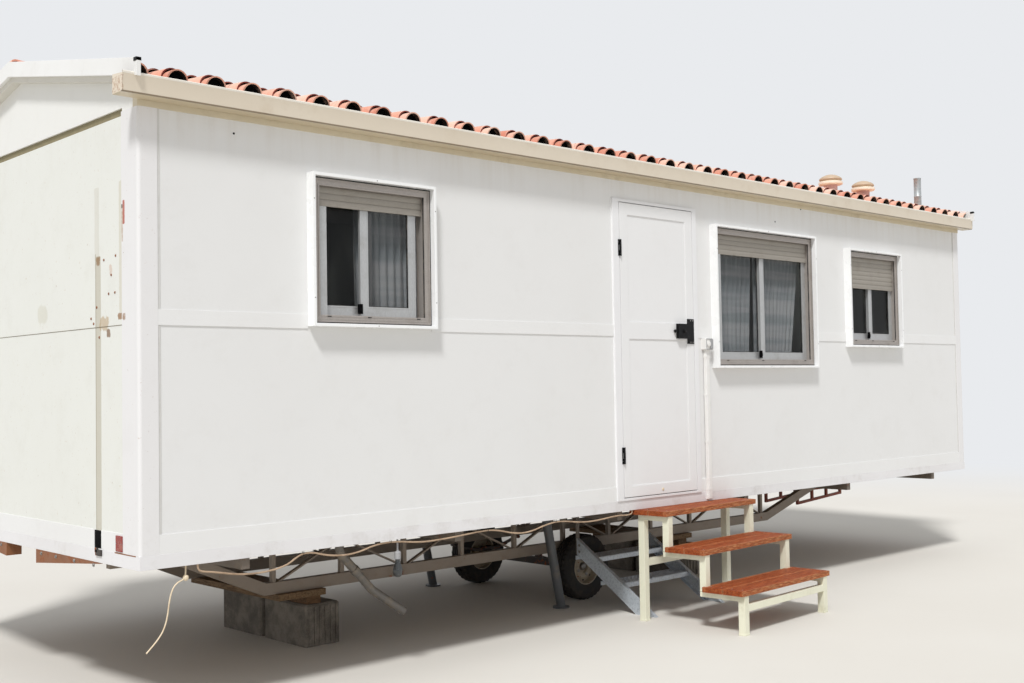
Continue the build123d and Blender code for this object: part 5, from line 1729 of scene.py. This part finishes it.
@dataclass
class Windows:
    """All windows of the home with their curtains and rods."""

    floor: float = 770.0
    small: Pair = (840.0, 815.0)
    large: Pair = (1320.0, 1050.0)
    top: float = 2055.0
    third_top: float = 1997.0
    rod_radius: float = 9.0
    rod_lift: float = 2.0
    rod_setback: float = 101.0
    ring_radius: float = 11.5
    ring_pitch: float = 74.0
    curtain_head: float = 1.5
    curtain_foot: float = 5.0

    def units(self) -> list[WindowUnit]:
        """Windows of the home.

        Returns:
            The windows from left to right, front wall first.
        """
        width, height = self.small
        wide, tall = self.large
        low = self.floor + self.top
        return [
            WindowUnit("window_1", 1010.0, low - height, width, height, 157.0, 41.0),
            WindowUnit("window_2", 4610.0, low - tall, wide, tall, 198.0),
            WindowUnit("window_3", 6478.0, self.floor + self.third_top - height, width, height, 318.0),
            WindowUnit("rear_window_1", 1400.0, low - height, width, height, 157.0, 0.0, True),
            WindowUnit("rear_window_2", 5700.0, low - height, width, height, 157.0, 0.0, True),
        ]

    def curtains(self) -> list[Curtain]:
        """Curtain panels behind the first two windows.

        Returns:
            The panels from left to right.
        """
        first, second = self.units()[:2]
        start = first.left + 353.0
        middle = second.left + 0.48 * second.width
        return [
            Curtain("curtain_1", start, first.right - 2, start + 4, first.right - 2,
                    first.sill + self.curtain_foot, first.top + self.curtain_head, seed=5),
            Curtain("curtain_2_left", second.left + 3, middle, second.left + 3, middle - 60,
                    second.sill + self.curtain_foot, second.top + self.curtain_head, seed=8),
            Curtain("curtain_2_right", middle + 30, second.right - 3, middle + 26, second.right - 170,
                    second.sill + self.curtain_foot, second.top + self.curtain_head, seed=9),
        ]

    def build_rings(self) -> None:
        """Slip curtain rings onto the rods, and cap the rods' ends."""
        shape = Shape("curtain_rings")
        y, radius = self.rod_setback, self.ring_radius
        turns = around(12)
        for unit in self.units()[:2]:
            level = unit.top + self.rod_radius + self.rod_lift
            x = unit.left + 30
            while x < unit.right - 10:
                shape.tube([(x, y + radius * c, level + radius * s) for c, s in turns + turns[:1]], 1.3, 5)
                x += self.ring_pitch
            for end, way in ((unit.left - 60, -1), (unit.right + 60, 1)):
                shape.turned([(9.5, -6), (13, 0), (14, 8), (10, 15), (0.02, 18)], (end, y, level),
                             (way, 0, 0), 16)
        shape.done(Palette.chrome, Slot.WINDOW_METAL)

    def build(self) -> None:
        """Dress the shared nodes and make each window's pieces."""
        dress(Palette.trim, "window_surrounds", edge=1.5)
        dress(Palette.aluminium, "window_frames", edge=0.8)
        dress(Palette.sash, "window_sashes", edge=1.0)
        dress(Palette.pane, "window_glass")
        dress(Palette.chrome, "curtain_rods")
        for unit in self.units():
            unit.build()
        for curtain in self.curtains():
            curtain.build()
        self.build_rings()


@dataclass
class Door:
    """Door leaf with its mouldings, screws, hinges and rim latch."""

    left: float = 3561.0
    width: float = 801.0
    front: float = -8.0
    back: float = 32.0
    stile: float = 81.0
    fields: tuple[Pair, ...] = ((937.0, 1962.0), (2082.0, 2833.0))
    recess: float = 6.0
    hinge_x: float = 3558.5
    hinge_levels: Pair = (1094.0, 2540.0)
    hinge_height: float = 115.0
    hinge_screw: float = 13.2
    seal: tuple[Pair, Pair] = ((3557.0, 857.0), (4366.0, 2920.0))
    plate: tuple[float, float, float, float] = (4284.0, 4358.0, 1935.0, 2118.0)
    body: Pair = (130.0, 26.0)

    def build_mouldings(self) -> None:
        """Line the four recessed fields with a thin bead."""
        shape = Shape("door_mouldings")
        a, b = self.left + self.stile, self.left + self.width - self.stile
        for low, high in self.fields:
            shape.ring((a, low), (b, high), 5, self.front + self.recess - 3, self.front + self.recess)
            shape.ring((a, low), (b, high), 5, self.back - self.recess, self.back - self.recess + 3)
        shape.done(Palette.door, Slot.DOOR_PAINT, Body.DOOR, smooth=0, edge=1.2)

    def build_screws(self) -> None:
        """Set a screw cap in the bottom rail and screws in the plates and moving hinge leaves."""
        shape = Shape("door_screws")
        cap = Shape("door_screw_cap")
        cap.turned([(11, 0), (11, 2), (8, 4), (0.02, 4.6)], (3972.0, self.front, 893.0), OUT, 18)
        cap.done(Palette.lead, Slot.WHITE_PLASTIC, Body.DOOR)
        _, x1, z0, z1 = self.plate
        for x, z in ((x1 - 14, z0 + 12), (x1 - 40, z0 + 12), (x1 - 14, z1 - 12), (x1 - 40, z1 - 12)):
            shape.screw((x, self.front - 6, z), OUT, 4.5)
        fixed = Shape("frame_hinge_screws")
        for z in (level + self.hinge_height * share for level in self.hinge_levels for share in (0.17, 0.83)):
            shape.screw((self.hinge_x + self.hinge_screw, self.front - 2.5, z), OUT, 2.6)
            fixed.screw((self.hinge_x - self.hinge_screw, self.front - 2.5, z), OUT, 2.6)
        shape.done(Palette.steel, Slot.BLACK_IRON, Body.DOOR)
        fixed.done(Palette.steel, Slot.BLACK_IRON)

    def build_lock(self) -> None:
        """Add the key slot, the knurled knob collar, ribs on the box and the inner thumb turn."""
        shape = Shape("lock_details")
        x0, _, z0, z1 = self.plate
        wide, deep = self.body
        middle = (z0 + z1) / 2
        centre = x0 + 4 - wide / 2
        face = self.front - deep
        for offset in (-38, -31, 31, 38):
            level = middle + offset
            shape.box((centre - 50, face - 1.2, level - 1.5), (centre + 50, face + 0.5, level + 1.5))
        knob = x0 + 4 - wide - 30
        for c, s in around(14):
            y, z = self.front - deep / 2 + 11 * c, middle + 11 * s
            shape.box((knob, y - 0.9, z - 0.9), (knob + 14, y + 0.9, z + 0.9))
        shape.turned([(16, 0), (17, 3), (13.5, 6)], (centre, face, middle), OUT, 24)
        inner = x0 + 8 + 21
        shape.turned([(12, 0), (12, 6), (8, 9), (6, 26), (0.02, 27)], (inner, self.back + 4, middle + 30),
                     IN, 18)
        shape.box((inner - 4, self.back + 24, middle + 12), (inner + 4, self.back + 30, middle + 48))
        shape.done(Palette.iron, Slot.BLACK_IRON, Body.DOOR, edge=0.4)
        key = Shape("key_cylinder")
        key.turned([(10.5, 0), (10.5, 1.2), (9.5, 1.8)], (centre, face - 9, middle), OUT, 24)
        key.done(Palette.iron, Slot.BLACK_IRON, Body.DOOR)
        slot = Shape("key_slot")
        slot.box((centre - 1.2, face - 11.2, middle - 5), (centre + 1.2, face - 10.6, middle + 5))
        slot.box((centre - 0.5, face - 11.3, middle - 6), (centre + 2.2, face - 10.6, middle - 3.5))
        slot.done(Palette.gasket, Slot.BLACK_IRON, Body.DOOR, smooth=0)

    def build_seal(self) -> None:
        """Run a rubber seal round the stop of the frame."""
        shape = Shape("door_seal")
        shape.ring(*self.seal, 11, self.back + 1.5, self.back + 5)
        shape.done(Palette.gasket, Slot.BLACK_IRON, smooth=0)

    def build(self) -> None:
        """Dress the door and make its fine pieces."""
        dress(Palette.door_frame, "door_frame", edge=1.2)
        dress(Palette.door, "door_leaf", edge=1.5)
        dress(Palette.iron, "door_hinges_fixed", "door_hinges_moving")
        dress(Palette.iron, "door_lock", edge=1.0)
        self.build_mouldings()
        self.build_screws()
        self.build_lock()
        self.build_seal()


@dataclass
class Walls:
    """Wall skins, posts, rails and base channels with the small marks on them."""

    marks: tuple[Pair, ...] = ((543.0, 3001.0), (5457.0, 2934.0), (5826.0, 3066.0))
    lift_slot: Pair = (433.0, 517.0)
    joint_level: float = 1987.0
    seam_lefts: Pair = (106.0, LENGTH - 119.0)
    bead_lefts: Pair = (4427.0, 3490.0)
    specks: tuple[Pair, ...] = (
        (397.0, 2334.0), (261.0, 2345.0), (312.0, 2250.0), (270.0, 2157.0), (342.0, 2155.0), (484.0, 2093.0),
        (553.0, 2037.0), (522.0, 2009.0), (455.0, 1935.0))

    def build_marks(self) -> None:
        """Leave a few old screws in the front wall and rusty nail heads in the left end."""
        shape = Shape("wall_screws")
        for x, z in self.marks:
            shape.screw((x, 6, z), OUT, 6)
        shape.done(Palette.iron, Slot.BLACK_IRON)
        heads = Shape("end_wall_nail_heads")
        for y, z in self.specks:
            heads.screw((6, y, z), LEFT, 7)
        heads.done(Palette.bracket, Slot.OXIDE_PRIMER)

    def build_end_joints(self) -> None:
        """Fill the panel joint across both end walls, fill the lifting slots with near-black painted shade,
        and lay strips of painted shade in the gable grooves.
        """
        joints = Shape("end_panel_joints")
        for x in (6.0, LENGTH - 6.0):
            joints.tube([(x, 187, self.joint_level), (x, DEPTH / 2, self.joint_level + 1),
                         (x, DEPTH - 187, self.joint_level)], 1.8, 6)
        joints.done(Palette.joint, Slot.WHITE_PAINT)
        # painted shade: near-black plates in the lifting slots stand for the dark space behind them
        slots = Shape("lifting_slot_shade")
        low, high = self.lift_slot
        for near, far in ((low, high), (DEPTH - high, DEPTH - low)):
            for x0, x1 in ((4.0, 6.4), (LENGTH - 6.4, LENGTH - 4.0)):
                slots.box((x0, near + 1, 844), (x1, far - 1, 935))
        slots.done(Palette.shade_and_black, Slot.BLACK_IRON, smooth=0)
        # painted shade: dark olive strips at the back of the gable grooves
        grooves = Shape("gable_groove_shade_strips")
        for x0, x1 in ((17.0, 19.8), (LENGTH - 19.8, LENGTH - 17.0)):
            grooves.box((x0, 182, 3050.5), (x1, DEPTH - 182, 3089.5))
        grooves.done(Palette.groove, Slot.WHITE_PAINT, smooth=0)
        gap = Shape("reflector_gap_rust")
        gap.box((-0.8, 40, 835), (5, 273, 840.5))
        gap.done(Palette.bracket, Slot.OXIDE_PRIMER, smooth=0)
        hook = Shape("lifting_hook")
        hook.box((-9, 418, 806), (-0.5, 486, 838))
        hook.box((-9, 462, 822), (-0.5, 492, 846))
        hook.done(Palette.spring, Slot.CHASSIS_PAINT, edge=1.5)

    def build_reflector(self) -> None:
        """Fix the red reflector and its rim at the foot of the left end."""
        shape = Shape("end_reflector")
        shape.box((-4, 184, 846), (1, 258, 926))
        shape.done(Palette.reflector, Slot.OXIDE_PRIMER, edge=2.0)
        rim = Shape("reflector_screws")
        for y in (192, 250):
            rim.screw((-4, y, 886), LEFT, 3.2)
        rim.done(Palette.steel, Slot.BLACK_IRON)

    def build_sealant(self) -> None:
        """Lay grey strips of painted shade in the joints beside both front corner posts, and draw a bead of
        sealant up the posts' inner edges and both sides of the door frame.
        """
        # painted shade: light grey strips in the joints beside both front corner posts
        seams = Shape("corner_post_shade_strips")
        for x in self.seam_lefts:
            seams.box((x, 3.4, 846), (x + 13, 6.4, 3085))
        seams.done(Palette.post_joint_shade, Slot.WHITE_PAINT, smooth=0)
        shape = Shape("sealant_beads")
        for x in (105.0, LENGTH - 105.0):
            shape.tube([(x, 5.5, 850), (x, 5.0, 1500), (x, 5.5, 2400), (x, 5.2, 3085)], 1.6, 6)
        for x in self.bead_lefts:
            shape.tube([(x, 5.5, 850), (x, 5.2, 2000), (x, 5.5, 2940)], 1.6, 6)
        shape.done(Palette.trim, Slot.WHITE_PAINT)

    def build(self) -> None:
        """Dress the walls and add their marks."""
        dress(Palette.wall, "front_wall_left", "front_wall_over_door", "front_wall_right", "rear_wall")
        dress(Palette.end_wall, "end_walls")
        dress(Palette.gable, "gable_panels")
        dress(Palette.post, "corner_posts")
        dress(Palette.rail, "wall_rails", edge=0.8)
        dress(Palette.channel, "base_channels_long", "base_channels_end", edge=1.2)
        dress(Palette.steady, "floor_joists")
        dress(Palette.deck, "floor_deck")
        self.build_marks()
        self.build_end_joints()
        self.build_reflector()
        self.build_sealant()


@dataclass
class CableCover:
    """Upright cable cover beside the door with its junction box."""

    left: float = 4482.0
    width: float = 42.0
    top: float = 1892.0
    bottom: float = 789.0

    def build(self) -> None:
        """Dress the cover and add the box lid, gland, socket face and saddles."""
        dress(Palette.plastic, "cable_cover", edge=0.8)
        middle = self.left + self.width / 2
        lid = Shape("box_lid")
        lid.ring((middle - 37, self.top + 2), (middle + 37, self.top + 84), 6, -45, -41)
        lid.box((middle + 4, -52, self.top + 10), (middle + 35, -41, self.top + 78))
        lid.done(Palette.grey_plastic, Slot.WHITE_PLASTIC, edge=1.6)
        socket = Shape("box_socket")
        socket.turned([(19, 0), (20, 4), (20, 9), (16, 10)], (middle - 14, -42, self.top + 44),
                      OUT, 26)
        socket.done(Palette.plastic, Slot.WHITE_PLASTIC)
        saddles = Shape("cover_saddles")
        for z in (self.bottom + 60, self.bottom + 410, self.bottom + 760, self.top - 60):
            saddles.box((self.left - 1.2, -26.2, z), (self.left + self.width + 1.2, 4, z + 16))
        saddles.box((self.left - 3, -20, self.bottom - 6), (self.left + 12, 2, self.bottom + 26))
        saddles.done(Palette.plastic, Slot.WHITE_PLASTIC, edge=1.0)


@dataclass
class Chassis:
    """Lattice girders, springs, steadies and their welds and bolts."""

    centre: float = 4060.0
    setback: float = 980.0
    chord: float = 50.0
    top: float = 370.0
    half: float = 360.0
    sag: float = 275.0
    thick: float = 24.0
    leaves: int = 4
    members: int = 6
    inset: float = 600.0
    level: float = 710.0

    def build_springs(self) -> None:
        """Stack the leaves of both springs and bind them to the axle."""
        shape = Shape("spring_leaves")
        each = self.thick / self.leaves
        for y0 in (self.setback, DEPTH - self.setback - self.chord):
            for leaf in range(self.leaves):
                reach = self.half * (1 - 0.19 * (self.leaves - 1 - leaf))
                rows = []
                for k in range(17):
                    out = reach * (k / 8 - 1)
                    low = self.sag + leaf * each + (out / self.half) ** 2 * (self.top - self.thick - self.sag)
                    high = low + each - 0.8
                    near, far = y0 + 3, y0 + self.chord - 3
                    rows.append([shape.point(self.centre + out, y, z)
                                 for y, z in ((near, low), (far, low), (far, high), (near, high))])
                shape.capped(rows)
            near, far = y0 - 2, y0 + self.chord + 2
            for x in (self.centre - 30, self.centre + 30):
                shape.tube([(x, near, 240), (x, near, 312), (x, far, 312), (x, far, 240)], 5, 8)
            shape.box((self.centre - 50, y0 - 8, 300), (self.centre + 50, y0 + self.chord + 8, 308))
            for x in (self.centre - self.half + 8, self.centre + self.half - 8):
                shape.turned([(14, -4), (14, self.chord + 4)], (x, y0, self.top - 12), IN, 16)
                shape.bolt((x, y0 - 4, self.top - 12), OUT, 8)
        shape.done(Palette.spring, Slot.CHASSIS_PAINT, smooth=30, replaces="leaf_springs")

    def build_welds(self) -> None:
        """Run lumpy weld beads where the top chords meet the cross members."""
        shape = Shape("weld_beads")
        rng = random.Random(21)
        pitch = (LENGTH - 2 * self.inset) / (self.members - 1)
        for index in range(self.members):
            x = self.inset + index * pitch
            for y0 in (self.setback, DEPTH - self.setback - self.chord):
                for side in (-27.0, 27.0):
                    points = [(x + side + rng.uniform(-1, 1), y0 + share * self.chord,
                               self.level + rng.uniform(-2, 0.5))
                              for share in (0.02, 0.18, 0.34, 0.5, 0.66, 0.82, 0.98)]
                    shape.tube(points, 4.0, 7)
        shape.done(Palette.chassis, Slot.CHASSIS_PAINT, smooth=60)

    def build_bolts(self) -> None:
        """Bolt the end brackets."""
        shape = Shape("chassis_bolts")
        for y in (520, 760, 1000, 1200):
            for place in (y, DEPTH - y):
                shape.bolt((0, place, 752), LEFT, 7)
        shape.done(Palette.steel, Slot.CHASSIS_PAINT)

    def build(self) -> None:
        """Dress the chassis and add springs, welds and bolts."""
        dress(Palette.girder, "chassis_top_chords", "chassis_bottom_chords", edge=1.5)
        dress(Palette.girder, "chassis_webs")
        dress(Palette.chassis, "chassis_cross_members", edge=1.5)
        dress(Palette.oxide, "tail_lattices")
        dress(Palette.bracket, "end_brackets", edge=1.5)
        dress(Palette.spring, "axle")
        dress(Palette.steady, "steady_legs")
        self.build_springs()
        self.build_welds()
        self.build_bolts()


@dataclass
class Wheel:
    """Road wheel: grooved tyre on a dished rim with nuts, hand holes and valve."""

    name: str
    body: Body
    tyre: str
    rim: str
    mirrored: bool
    centre: float = 4060.0
    near: float = 828.0
    radius: float = 250.0
    width: float = 145.0
    rim_radius: float = 135.0
    shoulder: float = 24.0
    segments: int = 108

    def y(self, offset: float) -> float:
        """Depth of a point that lies at an offset from the wheel's outer side."""
        return DEPTH - self.near - offset if self.mirrored else self.near + offset

    def profile(self) -> list[tuple[float, float, bool]]:
        """Radius, offset and whether lugs cut the point, over the tyre's section.

        Returns:
            Radius, distance across the tread and whether lugs cut it, for each corner.
        """
        r, w, s, rim = self.radius, self.width, self.shoulder, self.rim_radius
        side = [(rim, s / 2, False), (rim + 6, s / 2 - 4, False), (rim + 22, s / 2 - 8, False),
                (rim + 52, 1, False), (rim + 76, 0.5, False), (r - s + 4, 4, False), (r - 10, 12, True),
                (r - 2, 21, True), (r, 27, True), (r, 42, True)]
        grooves = [(r - deep, middle + offset, False) for middle in (48.0, w / 2, w - 48.0)
                   for deep, offset in ((0, -5), (8, -3.5), (8, 3.5), (0, 5))]
        return side + grooves + [(radius, w - offset, lug) for radius, offset, lug in side[::-1]]

    def build_tyre(self) -> None:
        """Turn the tyre and cut its lugs."""
        shape = Shape(f"{self.name}_tyre")
        rows = []
        for radius, offset, lug in self.profile():
            row = []
            for k, (c, s) in enumerate(around(self.segments)):
                reach = radius - (7.0 if lug and k % 3 == 0 else 0.0)
                row.append(shape.point(self.centre + reach * c, self.y(offset), self.radius + reach * s))
            rows.append(row)
        shape.grid(rows + rows[:1], True)
        shape.done(Palette.rubber, Slot.TYRE_RUBBER, self.body, smooth=28, replaces=self.tyre)

    def build_nuts(self) -> None:
        """Add wheel nuts, hand holes, the hub cap and the valve."""
        shape = Shape(f"{self.name}_nuts")
        out = (0.0, 1.0 if self.mirrored else -1.0, 0.0)
        for c, s in around(4, 0.4):
            shape.bolt((self.centre + 66 * c, self.y(42), self.radius + 66 * s), out, 9)
        shape.turned([(30, 0), (30, 6), (26, 22), (18, 27), (0.02, 28)],
                     (self.centre, self.y(65), self.radius),
                     out, 24)
        shape.turned([(4, -6), (4, 16), (3, 26), (0.02, 26.5)],
                     (self.centre + 112, self.y(24), self.radius + 18),
                     out, 10)
        shape.done(Palette.steel, Slot.RIM_PAINT, self.body)
        holes = Shape(f"{self.name}_hand_holes")
        for c, s in around(8):
            centre = (self.centre + 100 * c, self.y(56), self.radius + 100 * s)
            holes.turned([(11, 0), (11, 2), (9, 2.6)], centre, out, 14)
        holes.done(Palette.gasket, Slot.RIM_PAINT, self.body)

    def build(self) -> None:
        """Dress the rim and make the tyre and fittings."""
        dress(Palette.rim, self.rim)
        self.build_tyre()
        self.build_nuts()


@dataclass
class Footings:
    """Concrete blocks with ribbed ends, wedges and planks."""

    lefts: Pair = (1602.0, 5350.0)
    width: float = 262.0
    near: float = 980.0
    length: float = 500.0
    height: float = 270.0

    def build(self) -> None:
        """Dress the footings and cast the ribs on the blocks' ends."""
        dress(Palette.concrete, "concrete_blocks", edge=3.0)
        dress(Palette.wedge, "timber_wedges", edge=2.0)
        dress(Palette.timber, "bearing_planks", edge=2.5)
        shape = Shape("block_ribs")
        for left in self.lefts:
            for near in (self.near, DEPTH - self.near - self.length):
                for k in range(6):
                    x = left + 20 + k * 41
                    for y in (near - 7, near + self.length):
                        shape.box((x, y, 6), (x + 17, y + 7, self.height - 16))
        shape.done(Palette.concrete, Slot.BLOCK_CONCRETE, edge=2.0)


@dataclass
class WoodenSteps:
    """Board treads on a welded frame that stands a little askew."""

    left: float = 3725.0
    width: float = 1134.0
    depth: float = 318.0
    front: float = -862.0
    going: float = 298.0
    rise: float = 240.0
    top: float = 769.7
    thick: float = 34.0
    turn: float = 3.5
    count: int = 3
    leg: float = 50.0
    side_inset: float = 30.0
    front_inset: float = 6.0
    back_inset: float = 54.0

    def askew(self, shape: Shape) -> None:
        """Turn a shape with the steps.

        Args:
            shape: shape drawn as if the steps stood straight.
        """
        pivot = Vector((self.left, self.front, 0.0))
        bmesh.ops.rotate(shape.mesh, cent=pivot, matrix=Matrix.Rotation(math.radians(self.turn), 3, "Z"),
                         verts=shape.mesh.verts)

    def sides(self) -> Pair:
        """Left edge of both side frames."""
        return self.left + self.side_inset, self.left + self.width - self.side_inset - self.leg

    def build_screws(self) -> None:
        """Set two screws into each board over each side frame."""
        screws = Shape("tread_screws")
        for index in range(self.count):
            level = self.top - (self.count - 1 - index) * self.rise
            y0 = self.front + index * self.going
            for x in self.sides():
                for y in (38, 118, 200, 280):
                    screws.screw((x + self.leg / 2, y0 + y, level), UP, 4.5)
        self.askew(screws)
        screws.done(Palette.steel, Slot.TREAD_WOOD)

    def build_feet(self) -> None:
        """Cap the feet of the front and back legs."""
        caps = Shape("step_feet")
        back = self.front + (self.count - 1) * self.going + self.depth - self.back_inset - self.leg
        for x in self.sides():
            for y in (self.front + self.front_inset, back):
                caps.box((x - 2, y - 2, 0), (x + self.leg + 2, y + self.leg + 2, 12))
        self.askew(caps)
        caps.done(Palette.step, Slot.STEP_PAINT, edge=1.5)

    def build_welds(self) -> None:
        """Run a weld bead round the foot of each upright that stands on a rail."""
        beads = Shape("step_welds")
        for index in range(1, self.count):
            level = self.top - self.thick - (self.count - index) * self.rise
            y = self.front + index * self.going + self.front_inset
            for x in self.sides():
                corners = [(x, y), (x + self.leg, y), (x + self.leg, y + self.leg), (x, y + self.leg), (x, y)]
                beads.tube([(*corner, level + 1.0) for corner in corners], 2.6, 6)
        self.askew(beads)
        beads.done(Palette.step, Slot.STEP_PAINT, smooth=60)

    def build(self) -> None:
        """Dress treads and frame, and add screws, feet and welds."""
        dress(Palette.tread, "step_treads", edge=3.0)
        dress(Palette.step, "step_frame", edge=2.0)
        self.build_screws()
        self.build_feet()
        self.build_welds()


@dataclass
class MetalSteps:
    """Hanging steps of folded sheet between channel stringers."""

    left: float = 3850.0
    width: float = 800.0
    foot: float = -18.0
    top: float = 740.0
    level: float = 495.0
    tread_height: float = 30.0
    first: float = 170.0
    rise: float = 164.0
    setback: float = 54.0

    def tread(self, index: int) -> Pair:
        """Place of a tread.

        Args:
            index: number of the tread, from the ground up.

        Returns:
            Front and underside of the tread.
        """
        z = self.first + index * self.rise
        slope = self.level / (self.top - self.foot)
        return self.foot + z / slope + self.setback, z

    def build(self) -> None:
        """Dress the steps and add grip teeth, punched collars and hanger bolts."""
        dress(Palette.zinc, "metal_steps")
        dress(Palette.chassis, "metal_step_hanger", edge=1.0)
        teeth = Shape("tread_teeth")
        collars = Shape("tread_collars")
        x0, x1 = self.left + 34, self.left + self.width - 34
        for index in range(2):
            y, z = self.tread(index)
            high = z + self.tread_height
            x = x0
            while x + 18 < x1:
                peak, end, front = x + 9, x + 18, y - 0.6
                teeth.plate([(x, y, high - 1), (end, y, high - 1), (peak, y, high + 9)], (0, 3, 0))
                teeth.plate([(x, front, high - 6), (peak, front, high - 22), (end, front, high - 6)],
                            (0, 0.5, 0))
                x += 20
            for row in range(4):
                shift = 10 if row % 2 else 0
                for k in range(17):
                    centre = (x0 + 22 + shift + k * 41.5, y + 34 + row * 46, high)
                    collars.turned([(9, -0.5), (8, 2.5), (6.5, 3), (5.5, 1.5), (5.2, 0.2)], centre,
                                   UP, 12)
        teeth.done(Palette.zinc, Slot.ZINC, smooth=0)
        collars.done(Palette.zinc, Slot.ZINC, smooth=40)
        bolts = Shape("hanger_bolts")
        for x, way in ((self.left, -1.0), (self.left + self.width, 1.0)):
            for z in (398.0, 446.0):
                bolts.bolt((x, self.top - 26, z), (way, 0, 0), 7)
        bolts.done(Palette.steel, Slot.ZINC)


@dataclass
class WastePipe:
    """Grey waste pipe with socket collars."""

    left: float = 1600.0
    near: float = 600.0

    def build(self) -> None:
        """Dress the pipe and slip sockets over its joints."""
        dress(Palette.pipe, "waste_pipe")
        shape = Shape("pipe_sockets")
        start = Vector((self.left, self.near, 640.0))
        way = (Vector((self.left + 245, self.near, 380.0)) - start).normalized()
        for centre, along in (((self.left, self.near, 690), UP), (start + way * 150, way)):
            shape.turned([(27.5, 0), (32, 2), (32, 44), (29, 48), (27.5, 48)], centre, along, 24)
        shape.done(Palette.pipe, Slot.GREY_PIPE)


def main() -> None:
    """Build the studio, then every sub-assembly in order, logging each piece as it is made."""
    logging.basicConfig(level=logging.INFO, format="%(message)s")
    Studio().build()
    Cables().build()
    Walls().build()
    TiledRoof().build()
    RoofFittings().build()
    Windows().build()
    Door().build()
    CableCover().build()
    Chassis().build()
    Wheel("front_wheel", Body.WHEEL_FRONT, "tyre_front", "rim_front", False).build()
    Wheel("rear_wheel", Body.WHEEL_REAR, "tyre_rear", "rim_rear", True).build()
    Footings().build()
    WoodenSteps().build()
    MetalSteps().build()
    WastePipe().build()


if __name__ == "__main__":
    main()
